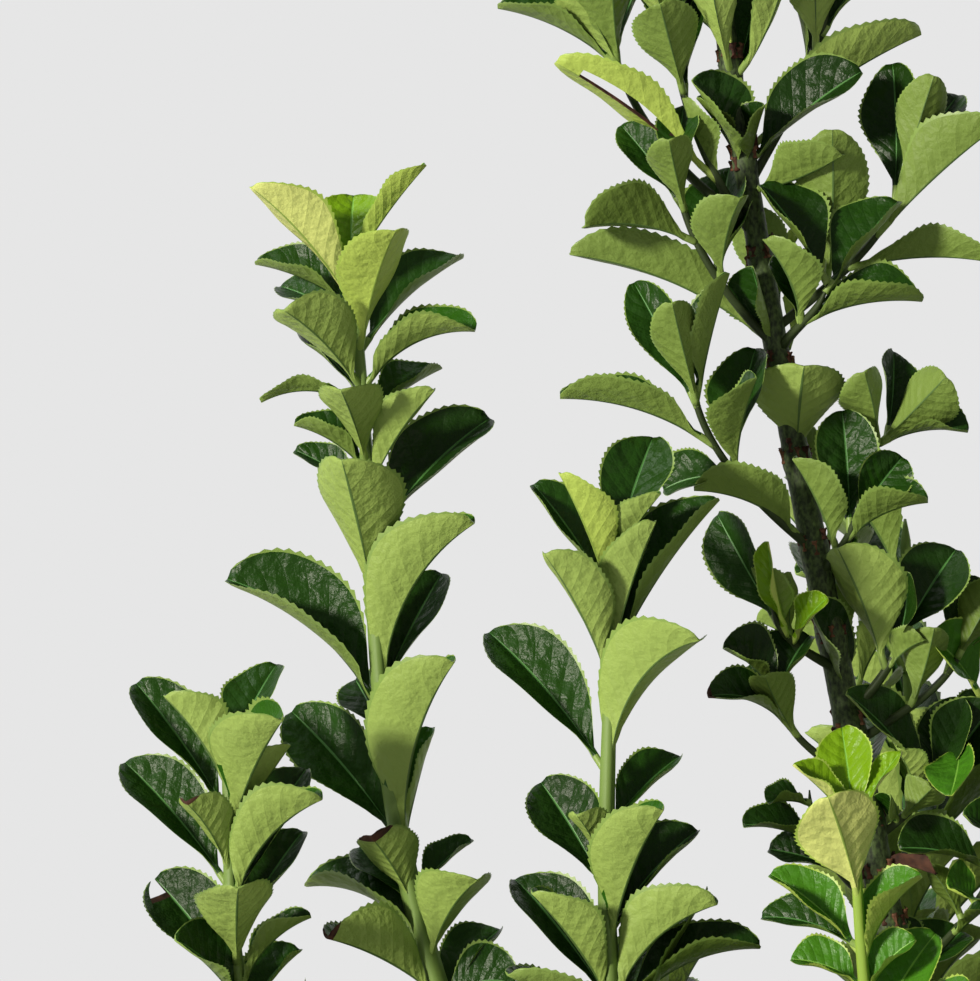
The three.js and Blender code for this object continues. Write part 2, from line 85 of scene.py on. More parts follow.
# How the limbs run, as in the solids. `at` is the foot on the root crown, or the share of the carrier's
# length, `lean` is that of the tip from upright, and `bare` is the share of the limb that has no leaves.
Limb = namedtuple("Limb", "name on at tip lean splay radii bare leaf step turn")
LIMBS = (
    Limb("leader", "crown", (0, 0), (-62, 5, 650), (0, 0), 0, (4.4, 1.5), 0.81, 31, 11.5, 30),
    Limb("left_tall", "crown", (-13, 3), (-130, 8, 503), (-0.11, 0.02), 42, (3.6, 1.1), 0.27, 38, 12, 356),
    Limb("left_outer", "left_tall", 0.2, (-154, -14, 406), (-0.04, 0), 24, (2.7, 1.1), 0.3, 34, 10.5, 335),
    Limb("left_inner", "crown", (-9, -9), (-78, -34, 444), (0.02, -0.02), 36, (3.2, 1.1), 0.3, 38, 12.5, 340),
    Limb("front_young", "leader", 0.094, (-32, -50, 394), (-0.02, -0.04), 26, (2.3, 1), 0.28, 31, 11, 350),
    Limb("right_tall", "crown", (13, 4), (84, 22, 604), (0.04, 0.02), 30, (3.9, 1.2), 0.2, 40, 20, 30),
    Limb("right_outer", "right_tall", 0.14, (148, -8, 488), (0.1, -0.03), 30, (2.8, 1.1), 0.22, 40, 19.5, 15),
    Limb("right_inner", "crown", (9, -9), (62, -62, 530), (0.05, -0.06), 30, (3.2, 1.1), 0.22, 40, 20, 50),
    Limb("front_mid", "right_inner", 0.13, (30, -118, 440), (-0.02, -0.12), 28, (2.6, 1.1), 0.24, 39, 19, 35),
    Limb("front_right", "right_inner", 0.17, (114, -94, 416), (0.12, -0.1), 34, (2.4, 1), 0.2, 39, 18.5, 70),
    Limb("front_low", "left_inner", 0.14, (-58, -106, 330), (-0.1, -0.16), 38, (2.2, 1), 0.24, 37, 16.5, 25),
    Limb("back_mid", "crown", (4, 13), (36, 90, 552), (0.02, 0.08), 30, (3.5, 1.2), 0.2, 40, 20, 10),
    Limb("back_right", "back_mid", 0.13, (112, 88, 470), (0.1, 0.08), 32, (2.6, 1.1), 0.22, 40, 19.5, 60),
    Limb("back_inner", "crown", (-6, 11), (-14, 72, 452), (-0.02, 0.08), 34, (2.6, 1), 0.24, 38, 19, 40),
    Limb("back_left", "back_inner", 0.12, (-66, 104, 342), (-0.1, 0.14), 40, (2.2, 1), 0.24, 37, 16.5, 75),
    Limb("back_low", "left_tall", 0.16, (-118, 66, 334), (-0.12, 0.12), 34, (2.2, 1), 0.24, 37, 16.5, 30),
)
BEND = 0.33  # how far a curve keeps the direction of its ends, as a share of its reach
SPIRE_FOOT = 5  # how much of a leafy part lies under its lowest leaves
BUD_LONG = 5  # how much of a shoot narrows to its end bud

# The leader's nodes, as in the solids: height, direction of the first twig, lengths of both twigs
TIERS = (
    (270, 80, (44, 0)),
    (304, 172, (40, 52)),
    (340, 262, (0, 46)),
    (370, 172, (38, 46)),
    (392, 262, (24, 44)),
    (410, 168, (34, 46)),
    (429, 262, (24, 36)),
    (446, 172, (42, 38)),
    (464, 262, (14, 42)),
    (482, 172, (76, 52)),
    (504, 238, (14, 44)),
    (524, 176, (14, 28)),
    (543, 262, (14, 22)),
)
# Heights of the leader's nodes that have withered bud scales, and how many each has
NODE_HEIGHTS = tuple(tier[0] for tier in TIERS) + (228, 248, 286, 322, 354, 380)
SCALES = 9
Twig = namedtuple("Twig", "radii splay out lean leaf step bare")
TWIG = Twig((1.4, 0.8), 52, (14, 0.2, 0.62), 0.16, 27, 10.2, 7)

# Side shoots on the leader: height of the foot on it, tip, lean at the tip, splay
Side = namedtuple("Side", "name height tip lean splay")
SIDES = (
    Side("side_a", 487, (-65, -4, 526), (0.05, 0), 44),
    Side("side_b", 446, (-62, -12, 483), (0.05, 0), 50),
    Side("side_c", 400, (-45, -9, 418), (-0.1, 0), 60),
    Side("side_d", 422, (-46, -10, 436), (0, 0), 60),
    Side("side_e", 508, (-66, 2, 552), (-0.1, 0), 30),
    Side("side_f", 511, (-78, 8, 552), (-0.1, 0), 50),
    Side("side_g", 490, (-19, 6, 522), (0.1, 0), 60),
    Side("side_h", 485, (-35, -8, 499), (0.2, 0), 40),
    Side("side_i", 462, (-21, 5, 471), (0.3, 0), 70),
    Side("side_j", 441, (-29, -9, 456), (0, 0), 60),
    Side("side_k", 413, (-19, 0, 434), (0, 0), 60),
    Side("side_l", 407, (-7, 4, 428), (0.2, 0), 65),
    Side("side_m", 519, (-34, 10, 559), (0, 0), 38),
    Side("side_n", 388, (-3, 9, 417), (0.3, 0), 70),
    Side("side_o", 375, (-38, 2, 398), (0, 0), 60),
    Side("side_p", 359, (1, 6, 387), (0.2, 0), 60),
)
SIDE_RADII = (1.05, 0.6)
# Leaves of the rule that the photograph shows to be missing, counted from the tip of their twig
ABSENT = {
    "left_tall_leaves": (0, 1, 3),
    "left_outer_leaves": (1,),
    "back_inner_leaves": (0, 1, 2, 3, 5, 6, 8, 11, 13),
    "back_left_leaves": (6,),
    "leader_twig_5b": (7, 8, 9),
    "leader_twig_7b": (0, 1, 7),
    "leader_twig_9b": (5, 6, 7, 8, 9),
}
# Twigs that have other shoots in their place in the photograph
SWAPPED_TWIGS = ("leader_twig_4a", "leader_twig_4b", "leader_twig_5a", "leader_twig_11b")
# Heights on the leader between which the photograph shows its side shoots one by one
SHOWN_FROM, SHOWN_TO = 400, 556

# How much of its length is withered on a shown leaf, by shoot and number
BROWN_TIPS = {
    ("left_tall", 25): 0.07,
    ("left_tall", 30): 0.05,
    ("left_outer", 6): 0.04,
    ("side_c", 3): 0.06,
    ("leader", 12): 1.0,
}
# Torn and bitten leaves: from and to along the leaf (0 to 1), from and to across it (-1 to 1)
GAPS = {("side_e", 2): (0.34, 0.86, 0.02, 0.24), ("left_outer", 8): (0.86, 1.01, 0.02, 0.62)}

# How far the leafy part of a limb bows to the right (less than 0 is to the left), and where that starts
BOWS = {"left_tall": (-12, 0.27), "left_outer": (-16, 0.3), "left_inner": (-7, 0.3)}

# The leaves that the photograph shows one by one, by shoot, as read off it. Each has the pixels of
# its foot and its tip, how much farther away the tip is, its width, how far it bends from foot to tip, how
# far each half folds up, the angle of its upper side to the viewer (180 shows only the under side, and less
# than 0 tilts it down), and its age. Beside the pixels, all are in millimetres and degrees.
# On some shown leaves the age is also painted shade and painted light: an older, darker tint where the leaf
# stands in shade, and a younger, brighter one where it should look lit.
OLD, MATURE, MID, YOUNG, FRESH = range(5)
SHOWN_LEAVES = {
    "left_tall": (
        ((342, 306), (252, 187), -9, 16.5, 22, 30, 131, FRESH),
        ((366, 240), (426, 165), -3, 8.5, 14, 44, 109, YOUNG),
        ((357, 262), (354, 196), 8, 16, 20, 24, 9, FRESH),
        ((372, 353), (395, 231), -20, 17, 26, 30, 149, YOUNG),
        ((378, 352), (462, 258), 11, 16, 30, 36, 58, MATURE),
        ((345, 310), (256, 264), 5, 13, 30, 44, 63, MATURE),
        ((345, 330), (281, 287), 14, 12, 20, 36, 43, MATURE),
        ((353, 390), (284, 310), -15, 18, 26, 35, 139, MID),
        ((353, 398), (299, 335), 10, 9.5, 20, 36, 43, OLD),
        ((358, 392), (475, 331), -6, 16, 66, 44, 90, MID),
        ((376, 420), (440, 369), 8, 13.5, 20, 36, 53, MATURE),
        ((356, 408), (261, 402), -1, 7.5, 66, 34, 96, MATURE),
        ((362, 462), (341, 390), -18, 15, 20, 34, 159, MID),
        ((352, 470), (294, 425), 0, 12, 40, 45, 71, MATURE),
        ((356, 500), (295, 451), 6, 9.5, 20, 36, 53, MATURE),
        ((384, 490), (434, 390), -8, 12.5, 24, 44, 133, MID),
        ((398, 545), (490, 419), 11, 19.5, 24, 36, 49, OLD),
        ((370, 604), (342, 460), -18, 21.5, 16, 35, -163, MID),
        ((413, 697), (474, 523), -10, 21.5, 60, 56, 117, MID),
        ((391, 717), (227, 580), 5, 23.5, 46, 48, 50, MATURE),
        ((410, 692), (442, 574), 14, 16, 10, 36, 28, OLD),
        ((425, 850), (454, 662), -14, 23.5, 44, 60, 131, MID),
        ((411, 842), (292, 712), 17, 18, 16, 32, 12, MATURE),
        ((400, 735), (356, 680), 14, 12, 10, 36, -3, OLD),
        ((424, 840), (433, 728), 8, 13, 6, 40, 68, MID),
        ((413, 905), (371, 836), -10, 15, 20, 36, 158, MID),
        ((410, 905), (359, 848), 10, 13, 20, 36, 17, MATURE),
        ((420, 965), (307, 886), 7, 18, 78, 40, 46, MATURE),
        ((435, 892), (472, 840), 7, 9.5, 20, 36, 49, MATURE),
        ((424, 962), (477, 880), -17, 18, 30, 36, 150, MID),
        ((428, 1000), (327, 938), -14, 19.5, 26, 56, 120, MID),
        ((440, 1010), (514, 985), -3, 16, 76, 40, 52, MATURE),
        ((440, 1010), (500, 930), 10, 15, 30, 36, 46, MATURE),
    ),
    "left_inner": (
        ((628, 545), (653, 438), 15, 15.5, 16, 26, 23, MATURE),
        ((604, 602), (533, 485), 7, 14.5, 14, 36, 43, MATURE),
        ((606, 602), (560, 474), -9, 13, 16, 45, 132, YOUNG),
        ((618, 562), (660, 494), -7, 9.5, 16, 42, 111, MID),
        ((628, 662), (719, 500), 3, 19.5, 20, 42, 56, MATURE),
        ((612, 678), (545, 554), -11, 15.5, 16, 44, 125, MID),
        ((600, 775), (489, 633), 13, 18, 18, 34, 36, MATURE),
        ((620, 778), (699, 640), -17, 19.5, 76, 40, 150, MID),
        ((604, 893), (541, 783), 12, 16.5, 14, 34, 15, OLD),
        ((614, 832), (680, 757), 10, 13, 20, 38, 37, MATURE),
        ((607, 868), (577, 815), -9, 10.5, 20, 40, 145, MID),
        ((616, 945), (663, 810), -16, 19.5, 26, 60, 120, MID),
        ((622, 935), (698, 831), 7, 17, 24, 38, 44, OLD),
        ((612, 1008), (515, 880), 13, 18, 16, 36, 25, OLD),
        ((612, 1000), (532, 893), -10, 16, 16, 44, 108, MID),
        ((618, 1002), (717, 904), -8, 18, 52, 56, 116, MID),
        ((625, 1022), (760, 948), 2, 16, 60, 44, 58, OLD),
        ((612, 700), (640, 640), 12, 13, 10, 36, 9, OLD),
        ((615, 654), (655, 522), -8, 13.5, 14, 46, 138, MID),
    ),
    "left_outer": (
        ((220, 818), (136, 684), 11, 16.5, 12, 34, 38, MATURE),
        ((213, 785), (165, 696), -4, 16, 18, 40, 115, MID),
        ((232, 762), (277, 665), 13, 14, 14, 28, 40, MATURE),
        ((238, 830), (282, 720), -19, 22.5, 22, 62, 128, MID),
        ((222, 890), (125, 763), 11, 17, 14, 34, 38, MATURE),
        ((240, 905), (322, 799), -7, 18, 52, 54, 109, MID),
        ((226, 872), (186, 802), -11, 13, 30, 42, 146, MID),
        ((232, 968), (238, 888), -24, 17, 14, 28, 169, MID),
        ((232, 992), (155, 879), 11, 18, 14, 34, 17, OLD),
        ((240, 840), (290, 745), -1, 13, 10, 44, 96, MID),
        ((240, 905), (306, 770), 13, 16, 12, 38, 32, OLD),
        ((244, 940), (303, 832), 13, 15, 12, 38, 34, OLD),
        ((258, 985), (311, 917), -4, 8.5, 50, 58, 87, MATURE),
        ((236, 1010), (175, 940), -10, 16, 30, 36, 60, MATURE),
        ((240, 1020), (300, 950), 8, 14, 30, 38, 46, MATURE),
    ),
    "front_young": (
        ((846, 832), (842, 728), 9, 12, 14, 22, 14, FRESH),
        ((838, 820), (793, 765), -1, 9, 16, 40, 70, FRESH),
        ((858, 818), (902, 752), 2, 7, 16, 30, 56, FRESH),
        ((852, 900), (828, 797), -12, 17, 18, 15, 170, FRESH),
        ((850, 956), (770, 875), 5, 12.5, 26, 38, 36, YOUNG),
        ((864, 962), (922, 877), -4, 14, 40, 44, 71, YOUNG),
        ((852, 990), (791, 960), 2, 12, 40, 36, 47, YOUNG),
        ((866, 992), (916, 940), -2, 11, 30, 40, 59, YOUNG),
        ((850, 950), (762, 918), 5, 12, 40, 34, 51, MATURE),
        ((905, 1040), (936, 934), 2, 15, 20, 30, 16, YOUNG),
    ),
    "leader": (
        ((731, 78), (694, -130), -13, 14.5, -60, 26, -173, MID),
        ((735, 70), (733, -125), -13, 12, 10, 60, 155, YOUNG),
        ((744, 78), (788, -120), -12, 14.5, -56, 26, 123, MID),
        ((764, 176), (692, 80), -8, 17.5, 22, 40, 62, MATURE),
        ((757, 190), (842, 155), -11, 16.5, -22, 40, 112, MATURE),
        ((785, 160), (862, 72), -2, 18.5, 16, 38, 60, OLD),
        ((780, 150), (921, 34), 12, 17.5, 20, 38, 121, MID),
        ((738, 172), (697, 98), -4, 10, 20, 40, 78, OLD),
        ((738, 352), (570, 254), -4, 16.5, 34, 42, 125, MATURE),
        ((806, 456), (804, 366), -9, 21, 10, 26, 168, MID),
        ((804, 348), (752, 266), -6, 15.5, 18, 42, 64, MATURE),
        ((868, 697), (807, 606), -8, 15.5, 34, 36, 58, OLD),
        ((880, 858), (936, 874), -6, 5.5, 20, 40, 120, OLD),
        ((750, 94), (778, -60), 9, 17.5, 12, 30, 24, MATURE),
        ((772, 168), (764, 106), -7, 12, 16, 36, 66, OLD),
    ),
    "side_a": (
        ((678, 252), (585, 226), -11, 17.5, 34, 40, 130, OLD),
        ((672, 212), (621, 126), 8, 10, 14, 32, 24, MATURE),
        ((671, 216), (669, 140), -12, 11.5, 16, 36, 174, MATURE),
        ((673, 186), (684, 106), 8, 10.5, 10, 32, 14, MATURE),
        ((722, 280), (740, 198), -13, 15.5, 20, 42, 131, MATURE),
        ((730, 268), (730, 168), 12, 16.5, 10, 30, 30, MATURE),
        ((733, 264), (749, 200), 7, 12, 10, 36, 44, OLD),
    ),
    "side_b": (
        ((690, 410), (634, 283), 9, 11.5, 14, 30, -2, MATURE),
        ((690, 406), (672, 303), -11, 12.5, 10, 40, 170, MATURE),
        ((692, 402), (729, 273), -2, 13, 10, 45, 79, MATURE),
        ((705, 453), (560, 398), -3, 15.5, 40, 46, 84, MATURE),
        ((738, 466), (756, 349), 10, 15.5, 10, 30, 38, MATURE),
        ((737, 470), (756, 378), -13, 15.5, 16, 42, 107, MATURE),
        ((787, 553), (694, 490), -8, 17.5, 60, 36, 104, MATURE),
        ((735, 480), (664, 490), 4, 13, 44, 38, 36, MATURE),
    ),
    "side_c": (
        ((778, 694), (723, 648), -3, 15.5, 40, 42, 60, OLD),
        ((776, 694), (810, 636), 4, 14.5, 20, 40, 39, OLD),
        ((796, 738), (765, 676), -12, 11, 20, 40, 150, MATURE),
        ((788, 730), (708, 697), -6, 12, 60, 44, 62, MATURE),
        ((784, 722), (745, 672), 8, 12, 20, 36, 4, MATURE),
    ),
    "side_d": (
        ((776, 632), (718, 515), 9, 14, 12, 26, -28, MATURE),
        ((780, 645), (752, 568), -4, 12, 14, 42, 122, MATURE),
        ((788, 634), (768, 542), -13, 7.5, 8, 40, 62, FRESH),
        ((794, 634), (790, 572), 2, 7.5, 8, 36, 160, MATURE),
        ((798, 636), (828, 598), -8, 9, 20, 36, 60, FRESH),
    ),
    "side_e": (
        ((676, 96), (660, 4), -13, 14.5, 10, 26, -179, MATURE),
        ((684, 98), (692, -10), 9, 14.5, 10, 40, 30, OLD),
        ((712, 186), (556, 62), -6, 15.5, 15, 26, 146, YOUNG),
        ((680, 70), (668, -50), 9, 13, 10, 30, 8, MATURE),
        ((676, 40), (640, -50), -8, 14.5, 10, 36, 161, MID),
        ((674, 30), (710, -50), 4, 13, 10, 34, 51, MATURE),
        ((716, 194), (683, 98), -2, 11, 20, 40, 112, MATURE),
    ),
    "side_f": (
        ((618, 66), (498, 8), 3, 16.5, 34, 44, 69, MATURE),
        ((622, 66), (572, -20), -9, 14.5, 14, 36, 174, MID),
        ((628, 60), (612, -30), -12, 14.5, 10, 34, 157, MATURE),
        ((622, 50), (650, -40), 8, 13, 10, 36, 45, OLD),
    ),
    "side_g": (
        ((892, 202), (893, 64), 9, 14.5, 10, 24, 30, OLD),
        ((905, 182), (934, 76), -7, 11.5, 6, 34, 165, MATURE),
        ((888, 246), (1000, 124), -9, 18.5, 26, 56, 128, MATURE),
        ((862, 285), (992, 262), -5, 13, 30, 40, 123, MATURE),
        ((838, 300), (832, 130), -10, 15.5, 10, 22, 176, MATURE),
        ((904, 180), (958, 96), 12, 13, 10, 34, 20, OLD),
    ),
    "side_h": (
        ((832, 272), (760, 186), 7, 17.5, 16, 34, 54, OLD),
        ((834, 296), (898, 202), 7, 17.5, 10, 36, 62, MATURE),
        ((816, 336), (922, 301), -6, 17.5, 54, 44, 74, MATURE),
        ((814, 336), (764, 240), -10, 14.5, 40, 38, 112, MATURE),
        ((812, 336), (778, 254), 2, 12, 16, 40, 25, OLD),
    ),
    "side_i": (
        ((884, 456), (864, 372), -9, 13, 14, 38, 150, MATURE),
        ((890, 456), (946, 377), -9, 14.5, 14, 36, -176, MATURE),
        ((894, 466), (968, 432), 0, 12, 44, 42, 66, MATURE),
        ((890, 440), (893, 352), 9, 12, 10, 30, -43, OLD),
    ),
    "side_j": (
        ((848, 532), (842, 411), 7, 14, 10, 26, -13, MATURE),
        ((854, 522), (902, 457), 2, 12.5, 16, 34, 16, MATURE),
        ((858, 546), (928, 502), -8, 15.5, 54, 44, 88, MATURE),
        ((846, 560), (793, 459), -8, 13, 24, 42, 112, MATURE),
    ),
    "side_k": (
        ((898, 640), (956, 550), 5, 16.5, 14, 26, 7, OLD),
        ((893, 650), (880, 570), 8, 13, 10, 30, -27, OLD),
        ((888, 655), (908, 572), -5, 11, 30, 40, 42, OLD),
        ((885, 665), (924, 640), -5, 10, 40, 40, 130, MATURE),
        ((870, 660), (838, 548), -8, 20, 10, 34, 140, MID),
    ),
    "side_l": (
        ((908, 704), (934, 628), -8, 11, 16, 34, 160, MATURE),
        ((960, 660), (1000, 585), -5, 13, 16, 36, 168, OLD),
        ((940, 670), (968, 575), 9, 14.5, 10, 30, -28, OLD),
    ),
    "side_n": (
        ((992, 700), (930, 636), -9, 16.5, 20, 34, 52, YOUNG),
        ((884, 752), (846, 694), -7, 14.5, 24, 34, 50, MATURE),
        ((925, 800), (962, 698), 2, 14.5, 20, 30, 22, OLD),
        ((920, 800), (897, 748), -7, 9, 20, 40, 125, MID),
        ((932, 800), (994, 704), 0, 17.5, 14, 30, 18, OLD),
        ((1010, 774), (951, 796), -15, 13, 30, 34, 44, YOUNG),
        ((912, 842), (890, 795), -7, 9, 20, 40, 74, MATURE),
        ((922, 842), (932, 788), -5, 11, 20, 36, 166, MATURE),
        ((915, 730), (994, 690), 9, 12, 30, 34, 44, OLD),
    ),
    "side_o": (
        ((812, 803), (768, 804), -2, 10, 44, 36, 69, MATURE),
        ((818, 850), (743, 826), -2, 11.5, 40, 36, 69, OLD),
        ((822, 885), (769, 850), 4, 13, 20, 32, 37, OLD),
    ),
    "side_p": (
        ((1002, 874), (899, 849), -5, 16.5, 30, 36, 60, OLD),
        ((1012, 850), (963, 814), -3, 12, 20, 34, 60, MATURE),
        ((1010, 926), (948, 888), -6, 13, 30, 36, 56, YOUNG),
        ((946, 908), (928, 866), 3, 6.5, 20, 36, 166, OLD),
        ((960, 940), (990, 905), -8, 6.5, 20, 34, 90, OLD),
        ((925, 1010), (962, 932), 7, 16.5, 16, 30, 40, MATURE),
        ((915, 985), (885, 915), 5, 12, 20, 34, 50, OLD),
    ),
    "side_m": (
        ((826, 58), (812, -60), -12, 15.5, 10, 30, 172, MID),
        ((834, 40), (880, -40), 6, 12, 14, 36, 46, OLD),
        ((815, 70), (790, -20), 8, 13, 10, 36, -55, OLD),
    ),
}

# The solids' leaves on the limbs that the photograph doesn't show are fewer and larger than life. Here they
# have their true size and spacing, as shares of those.
TRUE_LEAF = 0.88
TRUE_STEP = 0.54
SPARSE_FROM = 15  # limbs with a longer step than this are such limbs

# How leaf pairs stand from the tip of a shoot down, as in the solids. Where two values are given, the first
# holds at the tip, and the second from the OPENS_OVER-th pair down.
FOOT_DEG = (14, 28)  # from the stem, at the leaf's foot
END_DEG = (44, 66)  # from the stem, at the leaf's tip
OPENS_OVER = 3
CROWDING = (0.55, 1)  # of the full step between pairs
TIP_SIZES = (0.6, 0.82, 0.95)  # of the full length, for the first pairs
TIP_WIDTHS = (0.7, 0.85, 0.95)  # of the full width, for the first pairs
WIDTH_SHARE = 0.6  # of the length
DRIFT = -4  # degrees by which a pair falls short of a quarter turn from the last
TIP_GAP = 0.6  # from the shoot's tip to its first pair
INSIDE = 0.75  # of the stem's radius out, a leaf's stalk starts
LENGTHS = (0.86, 1.14)  # of the full length, from the shortest leaf to the longest
VEER, FOOT_SPREAD, END_SPREAD = 16, 10, 26  # degrees over which turn, foot and tip differ between leaves

# A leaf's own make
STALK_SHARE = 0.12  # of its length is stalk
STALK_RADIUS = 0.75
BLADE_THICK = 0.42
KEEL = 0.42  # by which the midrib stands out under the blade
GROOVE = 0.16  # by which it lies sunk on top
FOLD_DEG = 34
TEETH = 20  # a side
TEETH_FROM = 0.3  # of the length up, the margin under it is smooth
TOOTH = 0.06  # of the half width
TOOTH_LEAN = 0.66  # of a tooth's length lies before its point, so it points to the tip
WIDEST = 0.58  # of the blade's length, past which its outline is blunter
VEINS = 9  # side veins in the length of a leaf, the last of them past its tip
VEIN_SLANT = 3.6  # of them pass between the midrib and the margin

SHOOT_GROUPS = {
    "left": ("left_tall", "left_outer", "left_inner", "front_young", "front_low", "back_low"),
    "leader": ("leader",),
    "right": ("right_tall", "right_outer", "right_inner", "front_mid", "front_right"),
    "back": ("back_mid", "back_right", "back_inner", "back_left"),
}
# Limbs that stand near the camera, so their leaves are of the finer make
CLOSE_UP = ("left_tall", "left_outer", "left_inner", "front_young", "leader")


def linear(code):
    """Linear colour of an sRGB hex value."""
    parts = [int(code[i : i + 2], 16) / 255 for i in (1, 3, 5)]
    return tuple(c / 12.92 if c <= 0.04045 else ((c + 0.055) / 1.055) ** 2.4 for c in parts)


def seeded(seed):
    """Numbers from 0 to 1, the same as those that the solids were grown by."""
    state = seed & 0xFFFFFFFF

    def draw():
        nonlocal state
        state = (state + 0x6D2B79F5) & 0xFFFFFFFF
        bits = ((state ^ (state >> 15)) * (state | 1)) & 0xFFFFFFFF
        bits ^= (bits + (((bits ^ (bits >> 7)) * (bits | 61)) & 0xFFFFFFFF)) & 0xFFFFFFFF
        return (bits ^ (bits >> 14)) / 2**32

    return draw


def unit(vector):
    """The vector's direction."""
    return vector / np.linalg.norm(vector)


def mixed(ends, share):
    """The value at a share of the way from the first end to the second."""
    return ends[0] + (ends[1] - ends[0]) * share


def outwards(along, turn):
    """The direction square to `along` that points towards `turn` degrees round it."""
    east = unit(EAST - along * (EAST @ along))
    north = np.cross(along, east)
    return east * math.cos(math.radians(turn)) + north * math.sin(math.radians(turn))


class Curve:
    """A curve that leaves its foot along one direction and reaches its tip along another."""

    def __init__(self, foot, start, tip, end, bow=(0, 0)):
        self.bow = bow
        reach = np.linalg.norm(foot - tip) * BEND
        self.points = np.array([foot, foot + start * reach, tip - end * reach, tip])
        self.steps = np.linspace(0, 1, 201)
        runs = np.linalg.norm(np.diff(self.spots(self.steps), axis=0), axis=1)
        self.runs = np.concatenate([[0], np.cumsum(runs)])
        self.length = self.runs[-1]

    def spots(self, t):
        """The spots at steps of the curve, from 0 to 1."""
        t = np.asarray(t)[..., None]
        a, b, c, d = self.points
        out, start = self.bow
        share = np.clip((t - start) / (1 - start), 0, 1)
        # A bow is fuller in its lower half
        bowed = np.sin(np.pi * share) ** 2 * (1 - 0.4 * share) * out * EAST
        return a * (1 - t) ** 3 + 3 * b * t * (1 - t) ** 2 + 3 * c * t**2 * (1 - t) + d * t**3 + bowed

    def at(self, share):
        """The spot at a share of the length."""
        return self.spots(np.interp(share * self.length, self.runs, self.steps))

    def along(self, share):
        """The direction at a share of the length."""
        t = np.interp(share * self.length, self.runs, self.steps)
        low, high = max(t - 1e-4, 0), min(t + 1e-4, 1)
        return unit(self.spots(high) - self.spots(low))


def grown(foot, along, tip, lean, splay, bow=(0, 0)):
    """A curve that splays from its carrier's direction at the foot and leans from upright at the tip."""
    tip, end = np.array(tip, float), unit(np.array([*lean, 1.0]))
    aim = tip - foot
    out = unit(aim - along * (aim @ along))
    angle = math.radians(splay)
    return Curve(foot, along * math.cos(angle) + out * math.sin(angle), tip, end, bow)


def limb_curves():
    """The curves of all the limbs, each from a foot on its carrier, and of the side shoots on the leader."""
    curves = {}
    for limb in LIMBS:
        if limb.on == "crown":
            foot, along = np.array([*limb.at, SOIL_TOP + STEMS_FROM], float), UP
        else:
            foot, along = curves[limb.on].at(limb.at), curves[limb.on].along(limb.at)
        bow = BOWS.get(limb.name, (0, 0))
        curves[limb.name] = grown(foot, along, limb.tip, limb.lean, limb.splay, bow)
    leader = curves["leader"]
    for side in SIDES:
        share = share_at_height(leader, side.height)
        curves[side.name] = grown(leader.at(share), leader.along(share), side.tip, side.lean, side.splay)
    return curves


def share_at_height(curve, height):
    """The share of its length at which a rising curve reaches a height."""
    low, high = 0.0, 1.0
    for _ in range(24):
        middle = (low + high) / 2
        if curve.at(middle)[2] < height:
            low = middle
        else:
            high = middle
    return low


def twig_curve(carrier, share, turn, length):
    """A side twig from a carrier, towards a turn, as in the solids."""
    along = carrier.along(share)
    out = outwards(along, turn)
    foot = carrier.at(share)
    sideways = min(TWIG.out[0] + TWIG.out[1] * length, TWIG.out[2] * length)
    tip = foot + out * sideways + along * math.sqrt(length**2 - sideways**2)
    splay = math.radians(TWIG.splay)
    start = along * math.cos(splay) + out * math.sin(splay)
    return Curve(foot, start, tip, unit(along + out * TWIG.lean))


def at_pixel(pixel, depth):
    """The spot at a depth that the photograph shows at a pixel."""
    across, down = (np.array(pixel) - PICTURE_MIDDLE) * (depth - CAMERA[1]) / FOCAL_PIXELS
    return np.array([CAMERA[0] + across, depth, CAMERA[2] - down])


def pixels_of(spots):
    """The pixels at which the photograph shows spots."""
    away = (spots - CAMERA) * FOCAL_PIXELS / (spots[:, 1:2] - CAMERA[1])
    return PICTURE_MIDDLE + away[:, [0, 2]] * (1, -1)


def roll_for(facing, upper, side, view):
    """How far a leaf turns about its length until its upper side is at an angle to the viewer."""
    straight = math.degrees(math.atan2(-(view @ side), view @ upper))

    # Two turns give that angle: one tilts the leaf up and a little to the left, the other down
    def tilt(roll):
        turned = upper * math.cos(math.radians(roll)) - side * math.sin(math.radians(roll))
        return turned[2] - 0.3 * turned[0]

    down, up = sorted((straight + facing, straight - facing), key=tilt)
    return up if facing > 0 else down


def shown_leaves(name, curve):
    """The leaves of one shoot that have a row of their own."""
    leaves = []
    shares = np.linspace(0, 1, 1001)
    pixels = pixels_of(curve.at(shares))
    rows = SHOWN_LEAVES.get(name, ())
    for number, (foot, tip, farther, width, bend, fold, facing, age_and_shade) in enumerate(rows):
        share = shares[np.linalg.norm(pixels - foot, axis=1).argmin()]
        spot, along = curve.at(share), curve.along(share)
        chord = at_pixel(tip, spot[1] + farther) - spot
        out = unit(chord - along * (chord @ along))
        slant = math.atan2(chord @ out, chord @ along)
        upper = along * math.sin(slant) - out * math.cos(slant)
        view = unit(CAMERA - spot - chord / 2)
        half = math.radians(bend / 2)
        leaves.append(
            {
                "spot": spot,
                "along": along,
                "inside": 0,
                "turn": math.degrees(math.atan2(out @ outwards(along, 90), out @ outwards(along, 0))),
                "length": np.linalg.norm(chord) * half / math.sin(half),
                "width": width,
                "foot": math.degrees(slant) - bend / 2,
                "end": math.degrees(slant) + bend / 2,
                "curl": 1,
                "fold": fold,
                "roll": roll_for(facing, upper, np.cross(along, out), view),
                "age_and_shade": age_and_shade,
                "rank": 9,
                "dead_tip": BROWN_TIPS.get((name, number), 0),
                "gap": GAPS.get((name, number)),
            }
        )
    return leaves


